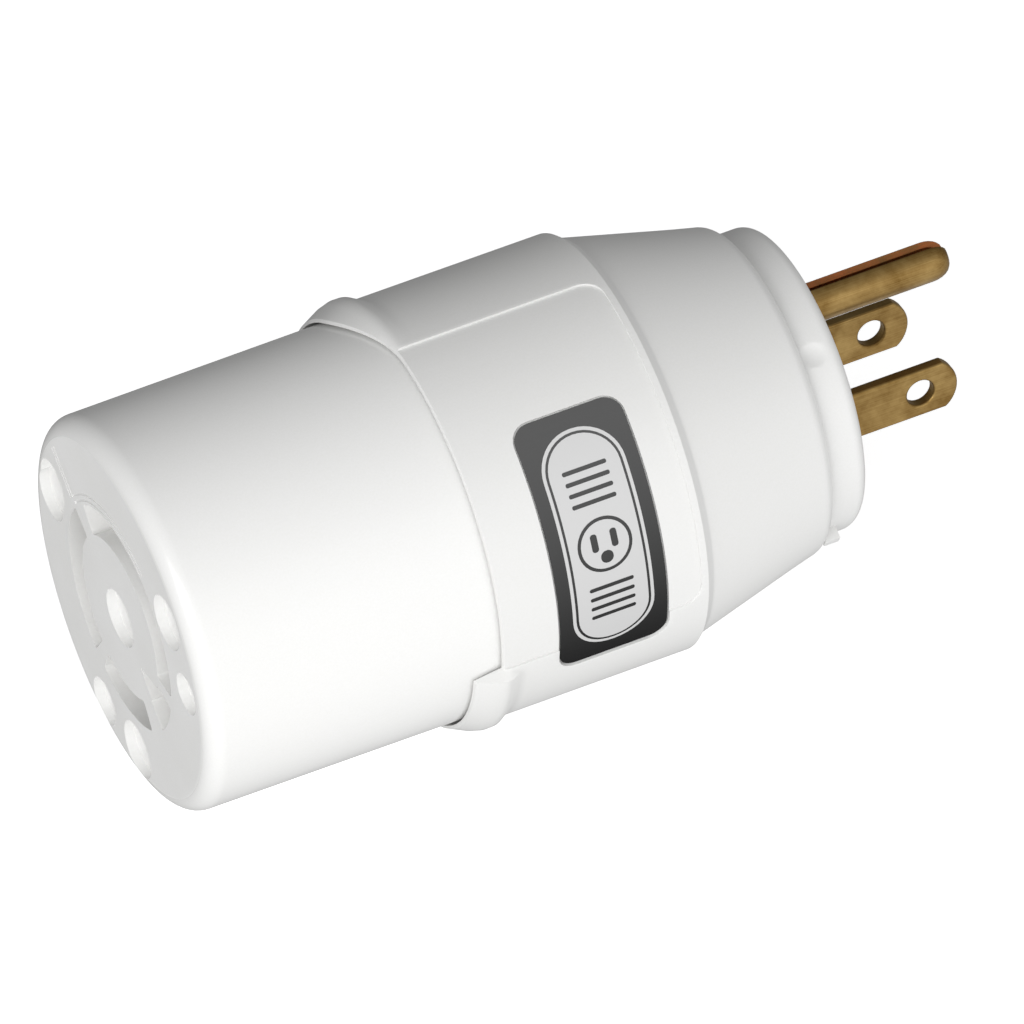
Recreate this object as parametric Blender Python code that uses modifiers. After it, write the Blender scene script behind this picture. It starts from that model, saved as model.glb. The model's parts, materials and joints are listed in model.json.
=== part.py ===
"""Straight-blade plug to locking receptacle adapter, modelled as its separate pieces.

World frame: the origin is the centre of the plug face, +X is the way the blades point and +Z runs
from the body axis to the ground pin. Every piece hangs from one empty, adapter_axis, whose own Z is
the body axis: its XY plane is the cross-section, X along the blade spacing and Y to the ground pin.
All sizes below are millimetres and degrees in that section frame.
"""

from math import asin, cos, degrees, pi, radians, sin

import bmesh
import bpy
from mathutils import Matrix, Vector

MM = 0.001
GAP = 0.3  # clearance between pieces that touch on the real adapter
OVERSHOOT = 1.0  # how far a cutter runs past the face that it cuts

# Overall lengths along the axis, measured back from the plug face at zero.
BODY_LENGTH = 84.0
FACE_Z = -BODY_LENGTH
COLLAR_FRONT_Z = FACE_Z + 35.6
COLLAR_END_Z = FACE_Z + 61.0
CONE_START_Z = FACE_Z + 62.0
CONE_END_Z = FACE_Z + 79.3

# Receptacle body: the front shell with the locking receptacle's face.
BODY_RADIUS = 23.45
BODY_DRAFT = 0.15
FACE_FILLET = 2.3
FACE_WALL = 4.2
BODY_BORE_RADIUS = 19.9
BODY_SHOULDER_Z = FACE_Z + 36.2
SPIGOT_RADIUS = 21.9
SPIGOT_END_Z = FACE_Z + 44.0
SNAP_BEAD_HEIGHT = 0.5
SNAP_BEAD_LENGTH = 1.6

# Receptacle face: three arc slots for the locking blades, one with an inward hook.
SLOT_INNER_RADIUS = 9.8
SLOT_OUTER_RADIUS = 13.4
LINE_SLOT = (56.0, 190.0)
NEUTRAL_SLOT = (-50.0, 42.0)
GROUND_SLOT = (243.0, 300.0)
HOOK_SLOT = (199.0, 226.0)
HOOK_TIP = (6.0, 219.0)
CENTRE_POCKET_RADIUS = 3.35
POCKET_DEPTH = 1.2
# Core-pin pockets round the rim of the face: distance from the axis, angle, radius.
POCKETS = ((16.1, 147.5, 3.4), (18.1, 175.1, 2.5), (18.8, 293.2, 3.1), (17.8, 265.6, 3.6))
LONG_POCKET = (18.1, 22.3, 3.1)
LONG_POCKET_OFFSET = 3.6

# Rear shell: collar, shoulder and cone in one moulding.
COLLAR_RADIUS = 24.65
LIP_INNER_RADIUS = BODY_RADIUS + GAP
LIP_END_Z = FACE_Z + 37.6
COLLAR_BORE_RADIUS = SPIGOT_RADIUS + GAP
COLLAR_WALL = 2.6
# Two flared tabs, half a turn apart: each has a square edge, a full stretch and a long ramp.
TAB_EDGES = (16.0, 196.0)
TAB_FULL = 44.0
TAB_RAMP = 38.0
SHOULDER_RADIUS = 23.65
CONE_TOP_RADIUS = 19.6
CONE_FILLET = 1.8
SHELL_MOUTH_RADIUS = 15.3

# Shallow panel moulded into the collar, and the printed label that lies in it.
PANEL_ANGLES = (94.0, 194.0)
PANEL_END_Z = FACE_Z + 60.0
PANEL_DEPTH = 0.25
PANEL_CORNER = 2.4
LABEL_ANGLES = (128.0, 202.5)
LABEL_SPAN_Z = (FACE_Z + 42.6, FACE_Z + 55.8)
LABEL_CORNER = 2.2
LABEL_THICKNESS = 0.12
LABEL_POCKET_DEPTH = 0.42

# Plug nose: the blade carrier that closes the plug end.
NOSE_RADIUS = 17.9
NOSE_LENGTH = 4.4
NOSE_FILLET = 1.4
NOSE_BOSS_RADIUS = SHELL_MOUTH_RADIUS - GAP
NOSE_BOSS_END_Z = -16.0
RETAINER_THICKNESS = 3.0
RETAINER_RADIUS = 14.4

# Straight blades and ground pin.
BLADE_SPACING = 12.7
BLADE_LINE_Y = -2.6
GROUND_OFFSET = 11.9
BLADE_WIDTH = 6.2
BLADE_THICKNESS = 1.5
BLADE_LENGTH = 16.2
BLADE_TIP_RISE = 1.65
BLADE_COINING = 0.3
BLADE_HOLE_RADIUS = 1.85
BLADE_HOLE_Z = 11.6
BLADE_TAIL_WIDTH = 4.2
BLADE_TAIL_END_Z = -27.0
PIN_RADIUS = 2.35
PIN_WALL = 0.75
PIN_LENGTH = 19.2
PIN_SLIT = 58.0
PIN_TAPER = 1.7

# Contact carrier and its cover, inside the receptacle body.
CARRIER_RADIUS = BODY_BORE_RADIUS - GAP
CARRIER_FRONT_Z = FACE_Z + FACE_WALL + GAP
CARRIER_BACK_Z = FACE_Z + 24.0
CELL_DEPTH = 15.0
CELL_MARGIN = 0.5
COVER_THICKNESS = 3.0
CONTACT_ANGLES = {"line": 120.0, "neutral": 0.0, "ground": 262.0}
CONTACT_SPREAD = 34.0
CONTACT_SHEET = 0.7
CONTACT_DEPTH = 12.0
TAIL_WIDTH = 6.0
TAIL_THICKNESS = 0.8
TAIL_RADIUS = 11.6
TAIL_END_Z = FACE_Z + 36.5
TERMINAL_Z = FACE_Z + 32.2

# Ring terminals, terminal screws and leads.
TERMINAL_THICKNESS = 0.8
TERMINAL_HOLE_RADIUS = 1.9
TERMINAL_RING_RADIUS = 3.3
BARREL_RADIUS = 2.3
BARREL_WALL = 0.6
BARREL_LENGTH = 5.0
BARREL_FLOOR = 1.2
TERMINAL_RADIUS = TAIL_RADIUS + TAIL_THICKNESS / 2 + GAP + TERMINAL_THICKNESS / 2
BARREL_AXIS_RADIUS = TERMINAL_RADIUS + BARREL_RADIUS - TERMINAL_THICKNESS / 2 - 0.1
BARREL_Z = TERMINAL_Z + TERMINAL_RING_RADIUS + 0.2
SCREW_SHANK_RADIUS = 1.5
SCREW_HEAD_RADIUS = 2.8
SCREW_HEAD_HEIGHT = 1.6
SCREW_LENGTH = 4.2
DRIVER_SLOT_WIDTH = 0.9
DRIVER_SLOT_DEPTH = 0.8
LEAD_RADIUS = 1.35
COVER_SCREW_RADIUS = 16.4
COVER_SCREW_ANGLES = (60.0, 195.0)
RETAINER_SCREW_X = 10.2
RETAINER_SCREW_Y = -9.0

# Fineness of the turned and spun surfaces.
BODY_SEGMENTS = 72
SMALL_SEGMENTS = 20
TAB_EDGE_TURN = 1.5  # how far round a tab's square edge leans
FILLET_STEPS = 5
SMOOTH_ANGLE = radians(32)

PARTS_COLLECTION = "power_adapter"
CUTTERS_COLLECTION = "cutters"


def linear(hex_colour):
    """Linear RGBA of an sRGB hex colour."""
    channels = [int(hex_colour[i : i + 2], 16) / 255 for i in (1, 3, 5)]
    return [c / 12.92 if c <= 0.04045 else ((c + 0.055) / 1.055) ** 2.4 for c in channels] + [1.0]


def make_material(name, colour, roughness, metallic=0.0):
    """A plain Principled material."""
    made = bpy.data.materials.new(name)
    made.use_nodes = True
    shader = made.node_tree.nodes["Principled BSDF"]
    shader.inputs["Base Color"].default_value = linear(colour)
    shader.inputs["Roughness"].default_value = roughness
    shader.inputs["Metallic"].default_value = metallic
    return made


def polar(radius, angle):
    """Section point at a distance from the axis and an angle from local X."""
    return radius * cos(radians(angle)), radius * sin(radians(angle))


def arc(centre, radius, start, end, steps=FILLET_STEPS):
    """Points of an arc in the profile plane, both ends included."""
    angles = [start + (end - start) * i / steps for i in range(steps + 1)]
    return [(centre[0] + radius * cos(radians(a)), centre[1] + radius * sin(radians(a))) for a in angles]


class Builder:
    """Adds the adapter's pieces and the cutters that shape them."""

    def __init__(self):
        self.parts = self.new_collection(PARTS_COLLECTION)
        self.cutters = self.new_collection(CUTTERS_COLLECTION)
        self.axis = bpy.data.objects.new("adapter_axis", None)
        self.axis.rotation_euler = (pi / 2, 0, pi / 2)
        self.parts.objects.link(self.axis)
        self.cutter_count = 0

    @staticmethod
    def new_collection(name):
        made = bpy.data.collections.new(name)
        bpy.context.scene.collection.children.link(made)
        return made

    def add(self, name, mesh, material, location=(0, 0, 0), rotation=(0, 0, 0)):
        """A named piece, or a cutter when it has no material."""
        if material is None:
            self.cutter_count += 1
            name = f"cut_{self.cutter_count:02d}_{name}"
        obj = bpy.data.objects.new(name, mesh)
        obj.location = Vector(location) * MM
        obj.rotation_euler = [radians(a) for a in rotation]
        obj.parent = self.axis
        if material is None:
            self.cutters.objects.link(obj)
            obj.hide_render = True
            obj.display_type = "WIRE"
        else:
            self.parts.objects.link(obj)
            mesh.materials.append(material)
            mesh.shade_smooth()
            mesh.set_sharp_from_angle(angle=SMOOTH_ANGLE)
        return obj

    def turned(self, name, profile, material=None, segments=BODY_SEGMENTS, **place):
        """A closed profile of (radius, z) points, spun a full turn by a Screw modifier."""
        mesh = bpy.data.meshes.new(name)
        points = [(r * MM, 0, z * MM) for r, z in profile]
        on_axis = profile[0][0] == 0 and profile[-1][0] == 0
        edges = [(i, i + 1) for i in range(len(points) - 1)]
        if not on_axis:
            edges.append((len(points) - 1, 0))
        mesh.from_pydata(points, edges, [])
        obj = self.add(name, mesh, material, **place)
        screw = obj.modifiers.new("spin", "SCREW")
        screw.steps = segments
        screw.render_steps = segments
        screw.use_merge_vertices = True
        screw.merge_threshold = 0.00001
        screw.use_smooth_shade = True
        return obj

    def lofted_turn(self, name, section_at, stations, material=None):
        """A ring whose closed (radius, z) section changes with the angle, lofted between the stations."""
        shape = bmesh.new()
        rings = []
        for angle in stations:
            places = [(*polar(r * MM, angle), z * MM) for r, z in section_at(angle)]
            rings.append([shape.verts.new(place) for place in places])
        for ring, following in zip(rings, rings[1:] + rings[:1]):
            for i, corner in enumerate(ring):
                before = i - 1
                shape.faces.new((ring[before], corner, following[i], following[before]))
        bmesh.ops.recalc_face_normals(shape, faces=shape.faces)
        mesh = bpy.data.meshes.new(name)
        shape.to_mesh(mesh)
        shape.free()
        return self.add(name, mesh, material)

    def sector(self, name, profile, start, end, steps, material=None, **place):
        """A closed profile of (radius, z) points, spun part of a turn as a solid."""
        shape = bmesh.new()
        corners = [shape.verts.new((*[c * MM for c in polar(r, start)], z * MM)) for r, z in profile]
        face = shape.faces.new(corners)
        bmesh.ops.spin(
            shape, geom=[face, *face.edges, *face.verts], angle=radians(end - start), steps=steps,
            axis=(0, 0, 1), cent=(0, 0, 0),
        )
        bmesh.ops.remove_doubles(shape, verts=shape.verts, dist=1e-7)
        bmesh.ops.recalc_face_normals(shape, faces=shape.faces)
        mesh = bpy.data.meshes.new(name)
        shape.to_mesh(mesh)
        shape.free()
        return self.add(name, mesh, material, **place)

    def cylinder(self, name, radius, low, high, material=None, segments=SMALL_SEGMENTS, **place):
        """A cylinder along local Z between two heights."""
        shape = bmesh.new()
        middle = Matrix.Translation((0, 0, (low + high) / 2 * MM))
        bmesh.ops.create_cone(
            shape, cap_ends=True, segments=segments, radius1=radius * MM, radius2=radius * MM,
            depth=(high - low) * MM, matrix=middle,
        )
        mesh = bpy.data.meshes.new(name)
        shape.to_mesh(mesh)
        shape.free()
        return self.add(name, mesh, material, **place)

    def block(self, name, size, material=None, **place):
        """A box centred on its location."""
        shape = bmesh.new()
        bmesh.ops.create_cube(shape, size=1, matrix=Matrix.Diagonal((*[s * MM for s in size], 1)))
        mesh = bpy.data.meshes.new(name)
        shape.to_mesh(mesh)
        shape.free()
        return self.add(name, mesh, material, **place)

    def outline(self, name, points, thickness, material=None, **place):
        """A flat outline in local XY, given its thickness about that plane as a filled curve."""
        curve = bpy.data.curves.new(name, "CURVE")
        curve.dimensions = "2D"
        curve.fill_mode = "BOTH"
        curve.extrude = thickness / 2 * MM
        spline = curve.splines.new("POLY")
        spline.points.add(len(points) - 1)
        for point, (x, y) in zip(spline.points, points):
            point.co = (x * MM, y * MM, 0, 1)
        spline.use_cyclic_u = True
        return self.mesh_of_curve(name, curve, material, **place)

    def tube(self, name, points, radius, material, resolution=2):
        """A round wire along a list of section points."""
        curve = bpy.data.curves.new(name, "CURVE")
        curve.dimensions = "3D"
        curve.bevel_depth = radius * MM
        curve.bevel_resolution = resolution
        curve.use_fill_caps = True
        spline = curve.splines.new("POLY")
        spline.points.add(len(points) - 1)
        for point, place in zip(spline.points, points):
            point.co = (*[c * MM for c in place], 1)
        return self.mesh_of_curve(name, curve, material)

    def mesh_of_curve(self, name, curve, material, **place):
        """The curve's surface as one closed mesh object, with the caps welded on."""
        source = bpy.data.objects.new(name + "_curve", curve)
        bpy.context.scene.collection.objects.link(source)
        bpy.context.view_layer.update()
        graph = bpy.context.evaluated_depsgraph_get()
        mesh = bpy.data.meshes.new_from_object(source.evaluated_get(graph))
        mesh.name = name
        shape = bmesh.new()
        shape.from_mesh(mesh)
        bmesh.ops.remove_doubles(shape, verts=shape.verts, dist=1e-6)
        bmesh.ops.recalc_face_normals(shape, faces=shape.faces)
        shape.to_mesh(mesh)
        shape.free()
        bpy.data.objects.remove(source)
        return self.add(name, mesh, material, **place)

    def wrapped(self, name, radius, angles, span, corner, thickness, material=None):
        """A sheet with rounded corners bent round the axis, thickened outwards from its radius."""
        start, end = angles
        turn = degrees(corner / radius)
        rim = [start + turn * (1 - cos(radians(90 * i / 4))) for i in range(5)]
        inner = max(2, round((end - start - 2 * turn) / (360 / BODY_SEGMENTS)))
        middle = [start + turn + (end - start - 2 * turn) * i / inner for i in range(1, inner)]
        stations = rim + middle + [start + end - a for a in reversed(rim)]
        shape = bmesh.new()
        rows = []
        for angle in stations:
            depth = min(angle - start, end - angle)
            reach = max(0.0, 1 - depth / turn)
            trim = corner * (1 - cos(asin(min(1.0, reach))))
            x, y = polar(radius, angle)
            heights = (span[0] + trim, span[1] - trim)
            rows.append([shape.verts.new((x * MM, y * MM, z * MM)) for z in heights])
        for low, high in zip(rows, rows[1:]):
            shape.faces.new((low[0], high[0], high[1], low[1]))
        mesh = bpy.data.meshes.new(name)
        shape.to_mesh(mesh)
        shape.free()
        obj = self.add(name, mesh, material)
        solid = obj.modifiers.new("thickness", "SOLIDIFY")
        solid.thickness = thickness * MM
        solid.offset = 1.0
        return obj

    def cut(self, target, *cutters, operation="DIFFERENCE"):
        """Boolean modifiers on the target, one for each cutter."""
        for cutter in cutters:
            modifier = target.modifiers.new(cutter.name, "BOOLEAN")
            modifier.operation = operation
            modifier.object = cutter
            modifier.solver = "EXACT"


def slot_profile(low, high, grow=0.0):
    """Radial section of a locking-blade slot between two heights."""
    inner = SLOT_INNER_RADIUS - grow
    outer = SLOT_OUTER_RADIUS + grow
    return [(inner, low), (outer, low), (outer, high), (inner, high)]


def receptacle_body(b, nylon):
    """Front shell: rounded rim, slotted face, plain bore and the spigot that enters the collar."""
    front_radius = BODY_RADIUS - BODY_DRAFT
    bead_z = SPIGOT_END_Z - 2.2
    rim = arc((front_radius - FACE_FILLET, FACE_Z + FACE_FILLET), FACE_FILLET, 0, -90)
    profile = [
        (BODY_BORE_RADIUS, SPIGOT_END_Z), (SPIGOT_RADIUS - 0.6, SPIGOT_END_Z),
        (SPIGOT_RADIUS - GAP, bead_z + SNAP_BEAD_LENGTH), (SPIGOT_RADIUS + SNAP_BEAD_HEIGHT, bead_z + 0.6),
        (SPIGOT_RADIUS + SNAP_BEAD_HEIGHT, bead_z), (SPIGOT_RADIUS, bead_z - 0.4),
        (SPIGOT_RADIUS, BODY_SHOULDER_Z), (BODY_RADIUS, BODY_SHOULDER_Z), *rim,
        (SLOT_OUTER_RADIUS + 1.0, FACE_Z), (0, FACE_Z), (0, FACE_Z + FACE_WALL),
        (BODY_BORE_RADIUS, FACE_Z + FACE_WALL),
    ]
    # The profile closes on the axis, so it starts and ends there.
    start = profile.index((0, FACE_Z + FACE_WALL))
    body = b.turned("receptacle_body", profile[start:] + profile[:start], nylon)
    low = FACE_Z - OVERSHOOT
    high = FACE_Z + FACE_WALL + OVERSHOOT
    for label, (first, last) in (("line", LINE_SLOT), ("neutral", NEUTRAL_SLOT), ("ground", GROUND_SLOT)):
        steps = round((last - first) / 7)
        b.cut(body, b.sector(label + "_slot", slot_profile(low, high), first, last, steps))
    hook = [polar(SLOT_OUTER_RADIUS, HOOK_SLOT[0] + (HOOK_SLOT[1] - HOOK_SLOT[0]) * i / 4) for i in range(5)]
    hook += [polar(SLOT_INNER_RADIUS, HOOK_SLOT[1]), polar(*HOOK_TIP), polar(SLOT_INNER_RADIUS, HOOK_SLOT[0])]
    middle = (low + high) / 2
    b.cut(body, b.outline("hook_slot", hook, high - low, location=(0, 0, middle)))
    floor = FACE_Z + POCKET_DEPTH
    b.cut(body, b.cylinder("centre_pocket", CENTRE_POCKET_RADIUS, low, floor))
    for distance, angle, radius in POCKETS:
        x, y = polar(distance, angle)
        b.cut(body, b.cylinder("pocket", radius, low, floor, location=(x, y, 0)))
    distance, angle, radius = LONG_POCKET
    for side in (-LONG_POCKET_OFFSET, LONG_POCKET_OFFSET):
        x, y = polar(distance, angle + side)
        b.cut(body, b.cylinder("long_pocket", radius, low, floor, location=(x, y, 0)))
    return body


def tab_height(angle):
    """How much of a full tab the lip has at an angle: 1 on a tab, 0 between them, smooth on the ramp."""
    turn = (angle - TAB_EDGES[0]) % (TAB_EDGES[1] - TAB_EDGES[0])
    if turn <= TAB_FULL:
        return 1.0
    part = min(1.0, (turn - TAB_FULL) / TAB_RAMP)
    return 1 - part * part * (3 - 2 * part)


def tab_stations():
    """Angles of the lip's sections: even steps, with a close pair at each tab's square edge."""
    step = 360 / BODY_SEGMENTS
    even = [TAB_EDGES[0] + step * i for i in range(BODY_SEGMENTS)]
    return sorted(even + [edge - TAB_EDGE_TURN for edge in TAB_EDGES])


def lip_section(height):
    """Collar's front edge between its outer surface and its bore: square at 0, a flared tab at 1."""
    square = [(24.65, 36.5), (24.6, 36.0), (24.4, 35.7), (24.1, 35.6), (LIP_INNER_RADIUS, 35.6)]
    flared = [(25.4, 36.2), (25.45, 35.6), (25.1, 34.4), (24.15, 32.3), (LIP_INNER_RADIUS, 32.2)]
    return [
        (low[0] + (high[0] - low[0]) * height, FACE_Z + low[1] + (high[1] - low[1]) * height)
        for low, high in zip(square, flared)
    ]


def rear_shell(b, nylon):
    """Collar, shoulder and cone: a drafted hollow moulding with two flared tabs on its front edge."""
    bead_z = SPIGOT_END_Z - 2.2
    slope = (CONE_TOP_RADIUS - SHOULDER_RADIUS) / (CONE_END_Z - CONE_FILLET - CONE_START_Z)
    crown = arc((CONE_TOP_RADIUS - CONE_FILLET, CONE_END_Z - CONE_FILLET), CONE_FILLET, 90, 8, 6)
    crown = [(r, z) for r, z in crown if r >= NOSE_RADIUS]
    bore_end = CONE_END_Z - 3.0
    inner_cone = CONE_TOP_RADIUS - COLLAR_WALL + slope * (bore_end - CONE_END_Z)
    outer = [
        (NOSE_RADIUS, CONE_END_Z), *crown, (SHOULDER_RADIUS, CONE_START_Z), (COLLAR_RADIUS, COLLAR_END_Z),
        (COLLAR_RADIUS, LIP_END_Z),
    ]
    inner = [
        (LIP_INNER_RADIUS, BODY_SHOULDER_Z + GAP),
        (COLLAR_BORE_RADIUS, BODY_SHOULDER_Z + GAP), (COLLAR_BORE_RADIUS, bead_z - 0.7),
        (COLLAR_BORE_RADIUS + SNAP_BEAD_HEIGHT, bead_z - 0.3),
        (COLLAR_BORE_RADIUS + SNAP_BEAD_HEIGHT, bead_z + 1.0), (COLLAR_BORE_RADIUS, SPIGOT_END_Z),
        (COLLAR_BORE_RADIUS, SPIGOT_END_Z + GAP), (SPIGOT_RADIUS - 0.6, SPIGOT_END_Z + 2.0),
        (SHOULDER_RADIUS - COLLAR_WALL, CONE_START_Z - 1.0), (inner_cone, bore_end),
        (SHELL_MOUTH_RADIUS, bore_end), (SHELL_MOUTH_RADIUS, CONE_END_Z),
    ]

    def section_at(angle):
        return outer + lip_section(tab_height(angle)) + inner

    shell = b.lofted_turn("rear_shell", section_at, tab_stations(), nylon)
    span = (COLLAR_FRONT_Z - 2 * PANEL_CORNER, PANEL_END_Z)
    panel_floor = COLLAR_RADIUS - PANEL_DEPTH
    b.cut(shell, b.wrapped("panel", panel_floor, PANEL_ANGLES, span, PANEL_CORNER, 2 * OVERSHOOT))
    label = (LABEL_SPAN_Z[0] - GAP, LABEL_SPAN_Z[1] + GAP)
    margin = degrees(GAP / COLLAR_RADIUS)
    seat = (LABEL_ANGLES[0] - margin, LABEL_ANGLES[1] + margin)
    floor = COLLAR_RADIUS - LABEL_POCKET_DEPTH - LABEL_THICKNESS
    b.cut(shell, b.wrapped("label_seat", floor, seat, label, LABEL_CORNER + GAP, 2 * OVERSHOOT))
    return shell


def blade_outline():
    """Side view of a straight blade: z along the outline's first axis, width along its second."""
    half = BLADE_WIDTH / 2
    shoulder = NOSE_BOSS_END_Z - RETAINER_THICKNESS - GAP
    tip_radius = (half * half + BLADE_TIP_RISE * BLADE_TIP_RISE) / (2 * BLADE_TIP_RISE)
    sweep = degrees(asin(half / tip_radius))
    tip = arc((BLADE_LENGTH - tip_radius, 0), tip_radius, sweep, -sweep, 8)
    tail = BLADE_TAIL_WIDTH / 2
    back = [(shoulder, half), (shoulder, tail), (BLADE_TAIL_END_Z, tail)]
    return tip + [(z, -y) for z, y in back] + back[::-1]


def blade_place(side):
    """Section position of a blade, on the minus or the plus side of the axis."""
    return side * BLADE_SPACING / 2, BLADE_LINE_Y


def blades(b, brass):
    """Two flat blades with a cross hole each, and their narrow crimp tails behind the retainer."""
    for name, side in (("line_blade", -1), ("neutral_blade", 1)):
        x, y = blade_place(side)
        # The outline's first axis turns to the body axis, and its second stays along the width.
        place = {"location": (x, y, 0), "rotation": (0, -90, 0)}
        blade = b.outline(name, blade_outline(), BLADE_THICKNESS, brass, **place)
        coining = blade.modifiers.new("coined_edges", "BEVEL")
        coining.width = BLADE_COINING * MM
        coining.segments = 1
        coining.limit_method = "ANGLE"
        coining.angle_limit = radians(60)
        hole = b.cylinder("blade_hole", BLADE_HOLE_RADIUS, -3, 3, location=(x, y, BLADE_HOLE_Z),
                          rotation=(0, 90, 0), segments=24)
        b.cut(blade, hole)


def ground_pin(b, brass):
    """Ground pin rolled from sheet: a slit tube with a drawn-in tip."""
    outer = PIN_RADIUS
    inner = PIN_RADIUS - PIN_WALL
    end = NOSE_BOSS_END_Z - RETAINER_THICKNESS - 6.0
    nose = arc((outer - PIN_TAPER, PIN_LENGTH - PIN_TAPER), PIN_TAPER, 0, 62, 4)
    profile = [(inner, end), (outer, end), *nose, (inner * 0.62, PIN_LENGTH - 0.9), (inner, PIN_LENGTH - 2.6)]
    first = 90 + PIN_SLIT / 2
    b.sector("ground_pin", profile, first, first + 360 - PIN_SLIT, 18, brass,
             location=(0, BLADE_LINE_Y + GROUND_OFFSET, 0))


def plug_nose(b, nylon):
    """Flanged blade carrier with two blade slots and a round hole for the ground pin."""
    back = -NOSE_LENGTH
    rim = arc((NOSE_RADIUS - NOSE_FILLET, -NOSE_FILLET), NOSE_FILLET, 90, 0)
    profile = [
        (0, 0), *rim, (NOSE_RADIUS, back), (NOSE_BOSS_RADIUS, back), (NOSE_BOSS_RADIUS, NOSE_BOSS_END_Z),
        (0, NOSE_BOSS_END_Z),
    ]
    nose = b.turned("plug_nose", profile, nylon, segments=64)
    b.cut(nose, *blade_openings(b, NOSE_BOSS_END_Z - OVERSHOOT, OVERSHOOT))
    for side in (-1, 1):
        place = (side * RETAINER_SCREW_X, RETAINER_SCREW_Y, 0)
        hole = b.cylinder("nose_screw_hole", SCREW_SHANK_RADIUS + GAP, NOSE_BOSS_END_Z - OVERSHOOT,
                          NOSE_BOSS_END_Z + 6.5, location=place, segments=16)
        b.cut(nose, hole)


def blade_openings(b, low, high):
    """Cutters for both blades and the pin, with clearance, between two heights."""
    middle = (low + high) / 2
    cutters = []
    for side in (-1, 1):
        x, y = blade_place(side)
        size = (BLADE_THICKNESS + 2 * GAP, BLADE_WIDTH + 2 * GAP, high - low)
        cutters.append(b.block("blade_slot", size, location=(x, y, middle)))
    hole = b.cylinder("pin_hole", PIN_RADIUS + GAP, low, high, location=(0, BLADE_LINE_Y + GROUND_OFFSET, 0))
    return [*cutters, hole]


def blade_retainer(b, phenolic):
    """Round plate screwed to the back of the nose, holding the blades and the pin."""
    top = NOSE_BOSS_END_Z - GAP
    bottom = top - RETAINER_THICKNESS
    profile = [(0, top), (RETAINER_RADIUS, top), (RETAINER_RADIUS, bottom), (0, bottom)]
    plate = b.turned("blade_retainer", profile, phenolic, segments=40)
    b.cut(plate, *blade_openings(b, bottom - OVERSHOOT, top + OVERSHOOT))
    for side in (-1, 1):
        place = (side * RETAINER_SCREW_X, RETAINER_SCREW_Y, 0)
        hole = b.cylinder("plate_hole", SCREW_SHANK_RADIUS + GAP, bottom - OVERSHOOT, top + OVERSHOOT,
                          location=place, segments=16)
        b.cut(plate, hole)


def screw_profile(length):
    """Pan head at the bottom and shank above it: a screw driven along +Z from z = 0 under its head."""
    return [
        (0, length), (SCREW_SHANK_RADIUS - 0.5, length), (SCREW_SHANK_RADIUS, length - 0.8),
        (SCREW_SHANK_RADIUS, 0), (SCREW_HEAD_RADIUS, 0), (SCREW_HEAD_RADIUS, -SCREW_HEAD_HEIGHT * 0.5),
        (SCREW_HEAD_RADIUS - 0.6, -SCREW_HEAD_HEIGHT), (0, -SCREW_HEAD_HEIGHT),
    ]


def driven_screw(b, name, length, steel, **place):
    """A pan-head screw with a straight driver slot."""
    screw = b.turned(name, screw_profile(length), steel, segments=12, **place)
    slot = b.block("driver_slot", (4 * SCREW_HEAD_RADIUS, DRIVER_SLOT_WIDTH, 2 * DRIVER_SLOT_DEPTH))
    slot.parent = screw
    slot.location = (0, 0, -SCREW_HEAD_HEIGHT * MM)
    b.cut(screw, slot)


def retainer_screws(b, steel):
    """Two self-tapping screws through the retainer into the nose."""
    seat = NOSE_BOSS_END_Z - GAP - RETAINER_THICKNESS - GAP
    for number, side in enumerate((-1, 1), start=1):
        driven_screw(b, f"retainer_screw_{number}", 8.5, steel,
                     location=(side * RETAINER_SCREW_X, RETAINER_SCREW_Y, seat))


def contact_carrier(b, phenolic):
    """Block that fills the receptacle body, with a deep arc cell behind each slot."""
    top = CARRIER_BACK_Z
    bottom = CARRIER_FRONT_Z
    profile = [
        (0, top), (CARRIER_RADIUS, top), (CARRIER_RADIUS, bottom + 1), (CARRIER_RADIUS - 1, bottom),
        (0, bottom),
    ]
    carrier = b.turned("contact_carrier", profile, phenolic, segments=48)
    cell = slot_profile(bottom - OVERSHOOT, bottom + CELL_DEPTH, CELL_MARGIN)
    half = CONTACT_SPREAD / 2 + degrees(GAP / SLOT_INNER_RADIUS) + 1
    for name, angle in CONTACT_ANGLES.items():
        b.cut(carrier, b.sector(name + "_cell", cell, angle - half, angle + half, 6))
        b.cut(carrier, tail_slot(b, name, angle, bottom, top + OVERSHOOT))
    for angle in COVER_SCREW_ANGLES:
        x, y = polar(COVER_SCREW_RADIUS, angle)
        hole = b.cylinder("carrier_hole", SCREW_SHANK_RADIUS + GAP, top - 6.0, top + OVERSHOOT,
                          location=(x, y, 0), segments=16)
        b.cut(carrier, hole)


def tail_slot(b, name, angle, low, high):
    """Cutter for a contact's flat tail, with clearance."""
    x, y = polar(TAIL_RADIUS, angle)
    size = (TAIL_THICKNESS + 2 * GAP, TAIL_WIDTH + 2 * GAP, high - low)
    return b.block(name + "_tail_slot", size, location=(x, y, (low + high) / 2), rotation=(0, 0, angle))


def carrier_cover(b, phenolic):
    """Disc that closes the back of the carrier, with the tails standing through it."""
    bottom = CARRIER_BACK_Z + GAP
    top = bottom + COVER_THICKNESS
    profile = [(0, top), (CARRIER_RADIUS, top), (CARRIER_RADIUS, bottom), (0, bottom)]
    cover = b.turned("carrier_cover", profile, phenolic, segments=48)
    for name, angle in CONTACT_ANGLES.items():
        b.cut(cover, tail_slot(b, name, angle, bottom - OVERSHOOT, top + OVERSHOOT))
    for angle in COVER_SCREW_ANGLES:
        x, y = polar(COVER_SCREW_RADIUS, angle)
        hole = b.cylinder("cover_hole", SCREW_SHANK_RADIUS + GAP, bottom - OVERSHOOT, top + OVERSHOOT,
                          location=(x, y, 0), segments=16)
        b.cut(cover, hole)


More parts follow.
